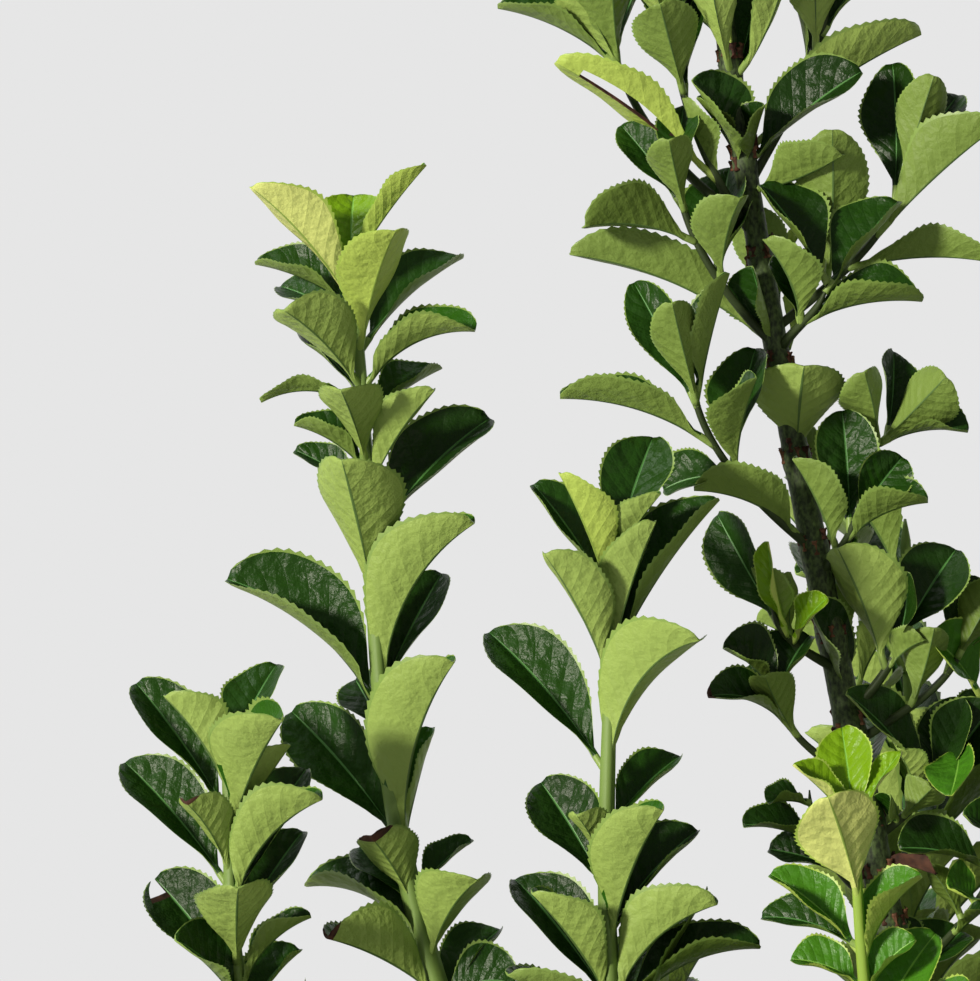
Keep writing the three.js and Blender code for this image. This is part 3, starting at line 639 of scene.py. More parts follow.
def leaf_pairs(curve, start, leaf, step, turn, radii, random):
    """The leaf pairs of a shoot from the tip down, as in the solids."""
    leaves = []
    low, rank = TIP_GAP, 0
    while 1 - low / curve.length > start:
        opened = min(1, rank / OPENS_OVER)
        share = 1 - low / curve.length
        for half in (0, 180):
            longer, wider, veer = random(), random() - 0.5, random() - 0.5
            size = TIP_SIZES[rank] if rank < len(TIP_SIZES) else 1
            width = TIP_WIDTHS[rank] if rank < len(TIP_WIDTHS) else 1
            length = leaf * size * mixed(LENGTHS, longer)
            leaves.append(
                {
                    "spot": curve.at(share),
                    "along": curve.along(share),
                    "inside": mixed(radii, share) * INSIDE,
                    "turn": turn + rank * (90 + DRIFT) + half + veer * VEER,
                    "length": length,
                    "width": length * WIDTH_SHARE * width,
                    "foot": mixed(FOOT_DEG, opened) + wider * FOOT_SPREAD,
                    "end": mixed(END_DEG, opened) + wider * END_SPREAD,
                    "rank": rank,
                }
            )
        low += step * mixed(CROWDING, opened)
        rank += 1
    return leaves


def node(tree, kind, inputs=(), **settings):
    """Adds a node with its settings, and its inputs as values or as sockets to link."""
    made = tree.nodes.new(kind)
    for name, value in settings.items():
        setattr(made, name, value)
    for key, value in dict(inputs).items():
        socket = made.inputs[key]
        if isinstance(value, bpy.types.NodeSocket):
            tree.links.new(value, socket)
        else:
            socket.default_value = value
    return made


def noisy(name, grain, detail, stretch=(1, 1, 1)):
    """A new material, and a noise of `grain` mm in it."""
    material = bpy.data.materials.new(name)
    material.use_nodes = True
    tree = material.node_tree
    tree.nodes.clear()
    spots = node(tree, "ShaderNodeTexCoord").outputs["Object"]
    scaled = node(tree, "ShaderNodeMapping", {"Vector": spots, "Scale": stretch}).outputs["Vector"]
    values = {"Vector": scaled, "Scale": 1 / (grain * MM), "Detail": detail}
    return material, node(tree, "ShaderNodeTexNoise", values).outputs["Fac"]


def surfaced(material, height, strength, relief, looks, invert=False):
    """The material with a shader that has these looks, and a bump of `relief` mm from a height."""
    tree = material.node_tree
    values = {"Height": height, "Strength": strength, "Distance": relief * MM}
    bump = node(tree, "ShaderNodeBump", values, invert=invert)
    shader = node(tree, "ShaderNodeBsdfPrincipled", {**looks, "Normal": bump.outputs["Normal"]})
    node(tree, "ShaderNodeOutputMaterial", {"Surface": shader.outputs["BSDF"]})
    return material


def colour(rgb):
    """A linear colour as a colour socket takes it."""
    return (*rgb, 1.0)


def waxy_upper(name, rgb):
    """Upper side of an evergreen leaf: a thick waxy skin, so deep colour under a clear gloss."""
    # Blisters between the veins, 4 mm apart, with a finer grain on them
    material, blisters = noisy(name, 4, 5.0)
    height = vein_height(material.node_tree, blisters, 8.0)
    looks = {"Base Color": colour(rgb), "Roughness": 0.38, "IOR": 1.45, "Specular IOR Level": 0.3}
    return surfaced(material, height, 0.28, 0.8, looks)


def maths(tree, operation, *values):
    """Adds a maths node and gives its result."""
    return node(tree, "ShaderNodeMath", dict(enumerate(values)), operation=operation).outputs[0]


def vein_height(tree, grain, coarse):
    """Height of the side veins, which slant to the leaf's tip, and of a grain that is some times as high."""
    leaf_map = node(tree, "ShaderNodeUVMap", uv_map="leaf").outputs["UV"]
    across, length, _ = node(tree, "ShaderNodeSeparateXYZ", {"Vector": leaf_map}).outputs
    out = maths(tree, "ABSOLUTE", maths(tree, "SUBTRACT", across, 0.5))
    ranks = maths(tree, "MULTIPLY_ADD", length, VEINS, maths(tree, "MULTIPLY", out, -VEIN_SLANT))
    wave = maths(tree, "MULTIPLY", maths(tree, "PINGPONG", ranks, 0.5), 2.0)
    return maths(tree, "MULTIPLY_ADD", grain, coarse, maths(tree, "POWER", wave, 0.5))


def matt_under(name, rgb):
    """Under side of the leaf: no wax, so paler and dull, with a fine net of veins."""
    # Pits between the small veins, 1.8 mm apart and finer
    material, pits = noisy(name, 1.8, 4.0)
    height = vein_height(material.node_tree, pits, 4.0)
    looks = {"Base Color": colour(rgb), "Roughness": 0.52, "IOR": 1.42, "Specular IOR Level": 0.35}
    return surfaced(material, height, 0.3, 0.6, looks, invert=True)


def smooth_green(name, rgb, roughness=0.42):
    """Leaf margin, midrib, stalk or young stem: smooth green skin with a mottle that only the gloss shows."""
    # The real mottle is finer than this and wouldn't show
    material, mottle = noisy(name, 0.8, 3.0)
    looks = {"Base Color": colour(rgb), "Roughness": roughness, "IOR": 1.45}
    return surfaced(material, mottle, 0.3, 0.1, looks)


def patterned(name, tints, grain, roughness, relief, stretch=(1, 1, 1), detail=6.0, fades=(0.35, 0.65)):
    """A rough natural surface: two tints in a noise of `grain` mm, with a bump of `relief` mm.

    `fades` is where on the noise each tint is pure.
    """
    material, pattern = noisy(name, grain, detail, stretch)
    ramp = node(material.node_tree, "ShaderNodeValToRGB", {"Fac": pattern})
    for stop, fade, tint in zip(ramp.color_ramp.elements, fades, tints):
        stop.position = fade
        stop.color = colour(linear(tint) if isinstance(tint, str) else tint)
    looks = {"Base Color": ramp.outputs["Color"], "Roughness": roughness, "IOR": 1.45}
    return surfaced(material, pattern, 0.6, relief, looks)


def dressed(name, points, triangles, ids, finishes, nodes, uv=None, margin=None):
    """A joined mesh from arrays, in millimetres, that rides on the plant and stands for its solids."""
    mesh = bpy.data.meshes.new(name)
    count = len(triangles)
    mesh.vertices.add(len(points))
    mesh.vertices.foreach_set("co", (points * MM).astype(np.float32).ravel())
    mesh.loops.add(3 * count)
    mesh.loops.foreach_set("vertex_index", triangles.astype(np.int32).ravel())
    mesh.polygons.add(count)
    mesh.polygons.foreach_set("loop_start", np.arange(0, 3 * count, 3, dtype=np.int32))
    for finish in finishes:
        mesh.materials.append(finish)
    mesh.polygons.foreach_set("material_index", np.asarray(ids, dtype=np.int32))
    mesh.polygons.foreach_set("use_smooth", np.ones(count, dtype=bool))
    mesh.update(calc_edges=True)
    if uv is not None:
        layer = mesh.uv_layers.new(name="leaf")
        layer.data.foreach_set("uv", uv[triangles.ravel()].astype(np.float32).ravel())
    if margin is not None:
        edges = np.empty(2 * len(mesh.edges), dtype=np.int32)
        mesh.edges.foreach_get("vertices", edges)
        mesh.edges.foreach_set("use_edge_sharp", margin[edges].reshape(-1, 2).all(axis=1))
    if mesh.validate():
        raise RuntimeError(f"{name} has faulty faces")
    piece = bpy.data.objects.new(name, mesh)
    bpy.context.scene.collection.objects.link(piece)
    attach(piece, "root")
    if nodes:
        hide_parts(*nodes)
    return piece


class Shape:
    """Points, triangles and finishes that are gathered into one mesh."""

    def __init__(self):
        self.points, self.triangles, self.ids, self.uv, self.margin = [], [], [], [], []
        self.count = 0

    def add(self, points, triangles, ids, uv=None, margin=None):
        """Adds points and their triangles. `ids` is the finish of them all, or of each."""
        self.points.append(points)
        self.triangles.append(triangles + self.count)
        self.ids.append(np.full(len(triangles), ids) if np.isscalar(ids) else ids)
        self.uv.append(np.zeros((len(points), 2)) if uv is None else uv)
        self.margin.append(np.zeros(len(points), bool) if margin is None else margin)
        self.count += len(points)

    def piece(self, name, finishes, slot, nodes, with_uv=False):
        """The mesh of all that was added."""
        return dressed(
            name,
            np.concatenate(self.points),
            np.concatenate(self.triangles),
            np.concatenate(self.ids),
            finishes,
            nodes,
            np.concatenate(self.uv) if with_uv else None,
            np.concatenate(self.margin) if with_uv else None,
        )


def quads(rows, columns, wrap):
    """Triangles of a grid of points, rows first, that closes round on itself with `wrap`."""
    i, k = np.meshgrid(np.arange(rows - 1), np.arange(columns if wrap else columns - 1), indexing="ij")
    a, b = i * columns + k, i * columns + (k + 1) % columns
    c, d = b + columns, a + columns
    return np.concatenate([np.stack([a, b, c], -1).reshape(-1, 3), np.stack([a, c, d], -1).reshape(-1, 3)])


def tube(spots, alongs, turns, radii):
    """A closed rod. radii has a row for each spot and a column for each side."""
    rows, sides = radii.shape
    angles = np.arange(sides) * 2 * np.pi / sides
    points = []
    for spot, along, turn, radius in zip(spots, alongs, turns, radii):
        side = outwards(along, turn)
        up = np.cross(along, side)
        circle = np.cos(angles)[:, None] * side + np.sin(angles)[:, None] * up
        points.append(spot + radius[:, None] * circle)
    points = np.concatenate(points + [spots[:1], spots[-1:]])
    triangles = [quads(rows, sides, True)]
    ring = np.arange(sides)
    foot, tip = rows * sides, rows * sides + 1
    triangles.append(np.stack([np.full(sides, foot), np.roll(ring, -1), ring], -1))
    last = ring + (rows - 1) * sides
    triangles.append(np.stack([np.full(sides, tip), last, np.roll(last, -1)], -1))
    return points, np.concatenate(triangles)


def along_curve(curve, start, end, spacing):
    """Shares, spots and directions along a stretch of a curve, about `spacing` apart."""
    count = max(4, int(curve.length * (end - start) / spacing) + 1)
    shares = np.linspace(start, end, count)
    return shares, curve.at(shares), np.array([curve.along(share) for share in shares])


UPPER, UNDER, EDGE, STALK, RIB, VEIN = range(6)


class LeafPattern:
    """The grid of points that every leaf of one fineness is bent from.

    `t` runs from the stalk's foot (0) to the tip (1), and `u` from margin to margin (-1 to 1).
    """

    def __init__(self, rows, stalk_rows, columns, tooth=TOOTH):
        inner = [-u for u in reversed(columns)] + [0.0] + list(columns)
        stations = [*np.linspace(0, STALK_SHARE, stalk_rows + 1)[:-1], *np.linspace(STALK_SHARE, 1, rows + 1)]
        width = len(inner)
        per_row = 2 * width + 2
        self.t, self.u, self.face, self.edge = [], [], [], []
        for t in stations:
            for face in (1, -1):
                for u in inner:
                    self._point(t, u, face, False)
            for u in (-1.0, 1.0):
                self._point(t, u, 0, True)
        triangles, kinds, middles = [], [], []

        def put(kind, *corners):
            middle = [sum(values[corner] for corner in corners) / len(corners) for values in (self.t, self.u)]
            for k in range(1, len(corners) - 1):
                triangles.append((corners[0], corners[k], corners[k + 1]))
                kinds.append(kind)
                middles.append(middle)

        rib = columns[0]
        last = len(stations) - 1
        for i in range(last):
            base, above = i * per_row, (i + 1) * per_row
            stalk = stations[i] < STALK_SHARE - 1e-6
            for c in range(width - 1):
                ribbed = abs(inner[c] + inner[c + 1]) / 2 < rib
                kind = STALK if stalk else RIB if ribbed else UPPER
                put(kind, base + c, above + c, above + c + 1, base + c + 1)
                kind = STALK if stalk else VEIN if ribbed else UNDER
                k = width + c
                put(kind, base + k, base + k + 1, above + k + 1, above + k)
            for side in (0, 1):
                edge = STALK if stalk else EDGE
                c = width - 1 if side else 0
                low, high = base + 2 * width + side, above + 2 * width + side
                peak = None
                if not stalk and stations[i] > TEETH_FROM:
                    peak = len(self.t)
                    out = 1 + tooth if side else -1 - tooth
                    self._point(mixed(stations[i : i + 2], TOOTH_LEAN), out, 0, True)
                rim = [low, high] if peak is None else [low, peak, high]
                upper = [base + c] + rim + [above + c]
                under = [base + width + c] + rim + [above + width + c]
                if side:
                    upper.reverse()
                else:
                    under.reverse()
                put(edge, *upper)
                put(edge, *under)
        for row, flip in ((0, False), (last, True)):
            base = row * per_row
            top = [base + 2 * width, *range(base, base + width), base + 2 * width + 1]
            low = [base + 2 * width, *range(base + width, base + 2 * width), base + 2 * width + 1]
            for k in range(len(top) - 1):
                ring = [top[k], top[k + 1], low[k + 1], low[k]]
                ring = [p for n, p in enumerate(ring) if p not in ring[:n]]
                put(STALK if row == 0 else EDGE, *(reversed(ring) if flip else ring))
        self.t, self.u, self.face = np.array(self.t), np.array(self.u), np.array(self.face)
        self.edge = np.array(self.edge)
        self.triangles, self.kinds = np.array(triangles), np.array(kinds)
        self.uv = np.stack([0.5 + 0.5 * self.u, self.t], -1)
        self.middles, self.across = np.array(middles).T

    def _point(self, t, u, face, edge):
        self.t.append(t)
        self.u.append(u)
        self.face.append(face)
        self.edge.append(edge)

    def bend(self, leaf, rng):
        """The points of one leaf on its stem."""
        along, out = leaf["along"], outwards(leaf["along"], leaf["turn"])
        side = np.cross(along, out)
        steps = 32
        fine = np.linspace(0, 1, steps + 1)
        # The blade bends more towards its tip than at its foot
        bending = fine ** leaf.get("curl", 1.25)
        angles = np.radians(mixed((leaf["foot"], leaf["end"]), bending))
        forward = np.concatenate([[0], np.cumsum((np.cos(angles[1:]) + np.cos(angles[:-1])) / 2)]) / steps
        outward = np.concatenate([[0], np.cumsum((np.sin(angles[1:]) + np.sin(angles[:-1])) / 2)]) / steps
        t, u, face = self.t, self.u, self.face
        angle = np.interp(t, fine, angles)[:, None]
        length = leaf["length"]
        spine = (
            leaf["spot"]
            + out * leaf["inside"]
            + np.outer(np.interp(t, fine, forward) * length, along)
            + np.outer(np.interp(t, fine, outward) * length, out)
        )
        upper = along * np.sin(angle) - out * np.cos(angle)
        twist = np.radians(leaf.get("twist", 0)) * t[:, None] + np.radians(leaf.get("roll", 0))
        across = side * np.cos(twist) + upper * np.sin(twist)
        upper = upper * np.cos(twist) - side * np.sin(twist)
        # The blade is a wedge at its foot, widest past its middle, and blunt at its tip
        blade = np.clip((t - STALK_SHARE) / (1 - STALK_SHARE), 0, 1) * 0.985
        arc = np.sin(np.pi * blade**1.3)
        outline = np.where(blade < WIDEST, arc**0.85, arc**0.6)
        half = np.maximum(outline * leaf["width"] / 2, STALK_RADIUS)
        in_blade = np.clip(blade * 8, 0, 1)
        fold = np.radians(leaf.get("fold", FOLD_DEG)) * (1.2 - 0.45 * blade) * in_blade
        edge = np.abs(u)
        # Each half is cupped: it rises little by the midrib and steeply by the margin
        slope = fold * (0.66 + 0.4 * edge**1.5)
        # Its margin waves twice in its length, a little out of step on the two sides
        wave = np.sin(2 * np.pi * (2.2 * t + rng.random()) + np.sign(u) * 1.3) * 0.45 * edge**2 * in_blade
        sideways = np.sign(u) * half * edge * np.cos(slope)
        upwards = half * edge * np.sin(slope) + wave
        thin = BLADE_THICK / 2 * (1 - 0.8 * edge**2)
        midrib = edge < 0.02
        keel = np.where((face < 0) & midrib, KEEL * (1 - blade), 0)
        stalk = STALK_RADIUS * np.sqrt(np.clip(1 - edge**2, 0, 1))
        thick = face * mixed((stalk, thin), in_blade) - keel * in_blade
        groove = np.where((face > 0) & midrib, GROOVE * in_blade, 0)
        return spine + across * sideways[:, None] + upper * (upwards + thick - groove)[:, None]


# Colours of the leaves, by age: upper side and under side. On some shown leaves the darker tints are also
# painted shade, and the brighter ones painted light.
LEAF_TINTS = {
    "old": ("#1a3809", "#647c31"),
    "mature": ("#20440b", "#7a9344"),
    "mid": ("#2d5e10", "#97b058"),
    "young": ("#467f1b", "#afc65a"),
    "fresh": ("#76a012", "#d0d97e"),
}
# Colours of the thin parts, on grown leaves and on young ones
THIN_PARTS = {
    "margin": ("#829f4b", "#a9c554"),
    "stalk": ("#8ba654", "#b0c862"),
    "upper_midrib": ("#4f8440", "#7fb646"),
    "under_midrib": ("#58753a", "#8ba648"),
}


def leaf_finishes():
    """The finishes that every leaf piece has, in the order that leaf_faces() counts them in."""
    finishes = [waxy_upper(f"waxy_leaf_upper_{age_and_shade}", linear(tints[0])) for age_and_shade, tints in LEAF_TINTS.items()]
    finishes += [matt_under(f"matt_leaf_under_{age_and_shade}", linear(tints[1])) for age_and_shade, tints in LEAF_TINTS.items()]
    for part, codes in THIN_PARTS.items():
        for age_and_shade, code in zip(("grown", "young"), codes):
            finishes.append(smooth_green(f"leaf_{part}_{age_and_shade}", linear(code)))
    # Dead leaf is dry and brown, with a coarse mottle
    finishes.append(patterned("dead_leaf_tip", ("#2c170f", "#523020"), 2, 0.8, 0.2))
    return finishes


def leaf_faces(pattern, leaf):
    """The faces that a leaf has of its pattern, and which finish each of them has."""
    age_and_shade, count = leaf["age_and_shade"], len(LEAF_TINTS)
    thin, dead = 2 * count + int(age_and_shade >= YOUNG), 2 * count + 2 * len(THIN_PARTS)
    lookup = np.array([age_and_shade, count + age_and_shade, thin, thin + 2, thin + 4, thin + 6])
    ids = lookup[pattern.kinds]
    if leaf.get("dead_tip"):
        ids = np.where(pattern.middles > 1 - leaf["dead_tip"], dead, ids)
    if not leaf.get("gap"):
        return pattern.triangles, ids
    low, high, near, far = leaf["gap"]
    t, u = pattern.middles, pattern.across
    lost = (t > low) & (t < high) & (u > near) & (u < far)
    # The faces round the gap are dead too
    rim = (t > low - 0.05) & (t < high) & (u > near - 0.02) & (u < far + 0.02)
    return pattern.triangles[~lost], np.where(rim, dead, ids)[~lost]


def age_of(limb, rank, rng):
    """Leaves are brightest at the tip of a shoot, and all of them on a young one."""
    draw = rng.random()
    if limb == "front_young":
        return FRESH if rank < 3 else YOUNG
    if rank == 0:
        return YOUNG if draw < 0.6 else MID
    return OLD if draw < 0.3 else MATURE if draw < 0.7 else MID


def without(name, leaves):
    """The leaves of a twig that the photograph doesn't show to be missing."""
    return [leaf for number, leaf in enumerate(leaves) if number not in ABSENT.get(name, ())]


# A shoot as it grows: its limb and group, the solid that it stands for, its stem and its leaves. `fine` is
# for the finer make of leaf, and a shoot that isn't `drawn` gives up its solid's place to the side shoots.
Shoot = namedtuple("Shoot", "limb group node curve start radii turn step leaves fine drawn")


def grow(curves):
    """Every shoot with its leaves."""
    return limb_shoots(curves) + twig_shoots(curves["leader"]) + side_shoots(curves)


def limb_shoots(curves):
    """The leafy ends of the limbs. Where the photograph shows leaves, the rule's start under them."""
    shoots = []
    for index, limb in enumerate(LIMBS):
        curve = curves[limb.name]
        group = next(name for name, limbs in SHOOT_GROUPS.items() if limb.name in limbs)
        start = limb.bare + GAP / curve.length
        leaf, step = limb.leaf, limb.step
        if step > SPARSE_FROM:
            leaf, step = leaf * TRUE_LEAF, step * TRUE_STEP
        lowest = start + SPIRE_FOOT / curve.length
        leaves = leaf_pairs(curve, lowest, leaf, step, limb.turn, limb.radii, seeded(101 + index))
        shown = shown_leaves(limb.name, curve)
        if shown and limb.name != "leader":
            top = min(leaf["spot"][2] for leaf in shown) - 4
            leaves = [leaf for leaf in leaves if leaf["spot"][2] < top]
        node_name = limb.name + "_leaves"
        leaves = without(node_name, leaves) + shown
        fine = limb.name in CLOSE_UP
        shoots.append(
            Shoot(limb.name, group, node_name, curve, start, limb.radii, limb.turn, step, leaves, fine, True)
        )
    return shoots


def twig_shoots(leader):
    """The leader's twigs, two at a node, each with one large leaf under it."""
    shoots = []
    for tier, (height, turn, reach) in enumerate(TIERS):
        share = share_at_height(leader, height)
        for half in (0, 1):
            if not reach[half]:
                continue
            random = seeded(301 + 2 * tier + half)
            towards = turn + 180 * half
            name = f"leader_twig_{tier + 1}{'ab'[half]}"
            in_view = SHOWN_FROM < height < SHOWN_TO and math.sin(math.radians(towards)) < 0.8
            curve = twig_curve(leader, share, towards, reach[half])
            bare = TWIG.bare / curve.length
            leaves = leaf_pairs(curve, bare, TWIG.leaf, TWIG.step, towards + 90, TWIG.radii, random)
            length = TWIG.leaf * (0.85 + 0.3 * random())
            large = {
                "spot": curve.at(min(0.5, 6 / curve.length)),
                "along": leader.along(share),
                "inside": 0,
                "turn": towards,
                "length": length,
                "width": length * WIDTH_SHARE,
                "foot": 48,
                "end": 82,
                "rank": 4,
            }
            leaves = without(name, leaves) + [large]
            drawn = not in_view and name not in SWAPPED_TWIGS
            way = towards + 90
            shoots.append(
                Shoot("leader", "leader", name, curve, 0.02, TWIG.radii, way, TWIG.step, leaves, True, drawn)
            )
    return shoots


def side_shoots(curves):
    """The leader's side shoots that the photograph shows."""
    shoots = []
    for side in SIDES:
        curve = curves[side.name]
        leaves = shown_leaves(side.name, curve)
        shoot = Shoot("leader", "leader", None, curve, 0.01, SIDE_RADII, 30, TWIG.step, leaves, True, True)
        shoots.append(shoot)
    return shoots


class SpindleSizes(bpy.types.PropertyGroup):
    """Sizes that a user would change."""

    rim_radius: bpy.props.FloatProperty(
        name="Rim radius", description="Outer radius of the pot's rim", default=0.106, unit="LENGTH"
    )
    tooth: bpy.props.FloatProperty(
        name="Tooth", description="Height of a leaf's teeth as a share of its half width", default=TOOTH
    )


class SpindleColours(bpy.types.PropertyGroup):
    """Colours that a user would change."""

    bark_dark: bpy.props.FloatVectorProperty(
        name="Bark, dark", description="Furrows of the bark", subtype="COLOR", default=linear("#1f2a17")
    )
    bark_light: bpy.props.FloatVectorProperty(
        name="Bark, light", description="Ridges of the bark", subtype="COLOR", default=linear("#54683a")
    )
    shoot: bpy.props.FloatVectorProperty(
        name="Shoot", description="Young green stems", subtype="COLOR", default=linear("#789449")
    )
    clay_dark: bpy.props.FloatVectorProperty(
        name="Clay, dark", description="Fired clay", subtype="COLOR", default=linear("#a8664a")
    )
    clay_light: bpy.props.FloatVectorProperty(
        name="Clay, light", description="Lime bloom on the clay", subtype="COLOR", default=linear("#b97b5c")
    )


class SPINDLE_OT_stage(bpy.types.Operator):
    """Camera, lights, pale surround and floor"""

    bl_idname = "spindle.stage"
    bl_label = "Stage"

    def execute(self, context):
        scene = context.scene
        camera = bpy.data.objects.new("camera", bpy.data.cameras.new("camera"))
        camera.location = CAMERA * MM
        camera.rotation_euler = (math.radians(90), 0, 0)
        camera.data.sensor_width = 36
        camera.data.sensor_fit = "HORIZONTAL"
        camera.data.lens = camera.data.sensor_width * FOCAL_PIXELS / PICTURE_WIDTH
        camera.data.clip_start = 0.05
        scene.collection.objects.link(camera)
        scene.camera = camera
        scene.view_settings.view_transform = "Standard"
        for lamp in LAMPS:
            add_lamp(scene, lamp)
        scene.world = pale_surround()
        lay_floor(scene)
        return {"FINISHED"}


# The studio's lamps, in metres. The sun's size is in degrees. All of them face the middle of the crown.
Lamp = namedtuple("Lamp", "name kind place size power tint")
LAMPS = (
    Lamp("key", "SUN", (-1.8, -1.6, 0.95), 8, 3.6, "#fff8ea"),
    Lamp("fill", "AREA", (1.6, -1.8, 0.9), 1.15, 3, "#fff3d8"),
    Lamp("sheen", "AREA", (-1.2, 0.2, 1.8), 0.5, 7, "#ffffff"),
    Lamp("rear", "AREA", (1.2, 1.4, 1.6), 1.0, 8, "#ffffff"),
)
CROWN_MIDDLE = (-0.06, 0, 0.4)
FLOOR_RADIUS = 4.0  # in metres


def add_lamp(scene, lamp):
    """Hangs one lamp."""
    light = bpy.data.lights.new(lamp.name, lamp.kind)
    light.energy, light.color = lamp.power, linear(lamp.tint)
    if lamp.kind == "SUN":
        light.angle = math.radians(lamp.size)
    else:
        light.size = lamp.size
    holder = bpy.data.objects.new(lamp.name, light)
    holder.location = lamp.place
    holder.rotation_mode = "QUATERNION"
    holder.rotation_quaternion = (Vector(CROWN_MIDDLE) - holder.location).to_track_quat("-Z", "Y")
    scene.collection.objects.link(holder)


def pale_surround():
    """A pale wall behind the plant, and a darker room in front of it."""
    world = bpy.data.worlds.new("pale_surround")
    world.use_nodes = True
    tree = world.node_tree
    tree.nodes.clear()
    facing = node(tree, "ShaderNodeTexCoord").outputs["Generated"]
    away = node(tree, "ShaderNodeSeparateXYZ", {"Vector": facing}).outputs["Y"]
    strength = node(
        tree,
        "ShaderNodeMapRange",
        {"Value": away, "From Min": 0.1, "From Max": 0.85, "To Min": 0.2, "To Max": 1.0},
        interpolation_type="SMOOTHSTEP",
    )
    back = node(
        tree,
        "ShaderNodeBackground",
        {"Color": colour(linear("#e6e6e6")), "Strength": strength.outputs["Result"]},
    )
    node(tree, "ShaderNodeOutputWorld", {"Surface": back.outputs["Background"]})
    return world


def lay_floor(scene):
    """A round pale floor under the pot."""
    mesh = bpy.data.meshes.new("floor")
    sides = 96
    turns = [2 * math.pi * i / sides for i in range(sides)]
    ring = [(FLOOR_RADIUS * math.cos(turn), FLOOR_RADIUS * math.sin(turn), 0) for turn in turns]
    mesh.from_pydata(ring, [], [list(range(sides))])
    # Matt paint on a smooth board: nearly one colour, and no gloss
    mesh.materials.append(patterned("matt_painted_floor", ("#dedede", "#e4e4e4"), 20, 0.7, 0.1))
    floor = bpy.data.objects.new("floor", mesh)
    scene.collection.objects.link(floor)


# The pot, as in the solids: heights of its parts, radii of its inner and outer walls, and its lip's rounding
POT_HIGH, POT_FLOOR, RIM_FOOT = 190, 11, 158
INNER_FOOT, MOUTH = 68.7, 93
OUTER_FOOT, NECK = 74, 98
RIM_UNDER = 104  # the rim's radius at its lower edge
LIP = 2.5
DRAINS, DRAIN_RADIUS, DRAINS_OUT = 3, 6.5, 38  # number of drain holes, their radius and how far out they are


class SPINDLE_OT_pot(bpy.types.Operator):
    """Fired clay pot"""

    bl_idname = "spindle.pot"
    bl_label = "Pot"

    def execute(self, context):
        rim = context.scene.spindle_sizes.rim_radius / MM
        profile = rounded(
            [
                (0, POT_FLOOR, 0),
                (INNER_FOOT, POT_FLOOR, 5),
                (MOUTH, POT_HIGH - 2, LIP),
                (MOUTH + LIP, POT_HIGH, LIP),
                (rim - LIP, POT_HIGH, LIP),
                (rim, POT_HIGH - LIP, LIP),
                (RIM_UNDER, RIM_FOOT + LIP, LIP),
                (RIM_UNDER - LIP, RIM_FOOT, 1.5),
                (NECK, RIM_FOOT, 1),
                (OUTER_FOOT, 3, 2),
                (OUTER_FOOT - 3, 0, 1),
                (0, 0, 0),
            ]
        )
        sides = 120
        angles = np.arange(sides) * 2 * np.pi / sides
        rows = []
        for radius, height in profile:
            # Thrown and fired clay is never quite round, and its wall has faint rings 3 mm apart
            on_wall = 4 < height < RIM_FOOT - 2 and radius > 60
            ring = 0.12 * math.sin(height * 2 * math.pi / 3) if on_wall else 0
            wobble = 0.25 * np.sin(2 * angles + 0.6) * min(1, radius / 90)
            r = radius + (ring + wobble if radius > 1 else 0)
            rows.append(np.stack([r * np.cos(angles), r * np.sin(angles), np.full(sides, height)], -1))
        points = np.concatenate(rows)
        triangles = quads(len(profile), sides, True)[:, ::-1]
        colours = context.scene.spindle_colours
        tints = tuple(colours.clay_dark), tuple(colours.clay_light)
        # Unglazed clay: quite dull, with soft paler patches in its red
        clay = patterned("fired_clay", tints, 12, 0.88, 0.2, detail=9.0, fades=(0.2, 0.9))
        shape = Shape()
        shape.add(points, triangles, 0)
        piece = shape.piece("clay_pot", [clay], "clay", ["pot"])
        drill(piece)
        return {"FINISHED"}


def rounded(corners):
    """A profile of (radius, height) with each corner (radius, height, rounding) rounded in four steps."""
    line = []
    for i, (x, z, r) in enumerate(corners):
        here = np.array([x, z], float)
        if not r or i in (0, len(corners) - 1):
            line.append(here)
            continue
        before, after = np.array(corners[i - 1][:2], float), np.array(corners[i + 1][:2], float)
        back, on = before - here, after - here
        reach = min(r, np.linalg.norm(back) * 0.45, np.linalg.norm(on) * 0.45)
        start, end = here + unit(back) * reach, here + unit(on) * reach
        for s in np.linspace(0, 1, 5):
            line.append(start * (1 - s) ** 2 + 2 * here * s * (1 - s) + end * s**2)
    dense = []
    for a, b in zip(line, line[1:]):
        steps = max(1, int(np.linalg.norm(b - a) / 1.5)) if abs(b[1] - a[1]) > 20 else 1
        dense += [a + (b - a) * s / steps for s in range(steps)]
    return dense + [line[-1]]


def drill(pot):
    """Cuts the drain holes."""
    mesh = bpy.data.meshes.new("drills")
    points, faces = [], []
    sides = 32
    for hole in range(DRAINS):
        turn = hole * 2 * math.pi / DRAINS
        first = len(points)
        for z in (-10, POT_FLOOR + 14):
            for i in range(sides):
                a = i * 2 * math.pi / sides
                x = DRAINS_OUT * math.cos(turn) + DRAIN_RADIUS * math.cos(a)
                y = DRAINS_OUT * math.sin(turn) + DRAIN_RADIUS * math.sin(a)
                points.append((x * MM, y * MM, z * MM))
        ring = list(range(first, first + sides))
        top = list(range(first + sides, first + 2 * sides))
        faces += [list(reversed(ring)), top]
        faces += [[ring[i], ring[(i + 1) % sides], top[(i + 1) % sides], top[i]] for i in range(sides)]
    mesh.from_pydata(points, [], faces)
    drills = bpy.data.objects.new("drills", mesh)
    bpy.context.scene.collection.objects.link(drills)
    cut = pot.modifiers.new("drains", "BOOLEAN")
    cut.object, cut.operation, cut.solver = drills, "DIFFERENCE", "EXACT"
    graph = bpy.context.evaluated_depsgraph_get()
    result = bpy.data.meshes.new_from_object(pot.evaluated_get(graph))
    pot.modifiers.clear()
    pot.data = result
    bpy.data.objects.remove(drills)
    pot.data.set_sharp_from_angle(angle=math.radians(40))


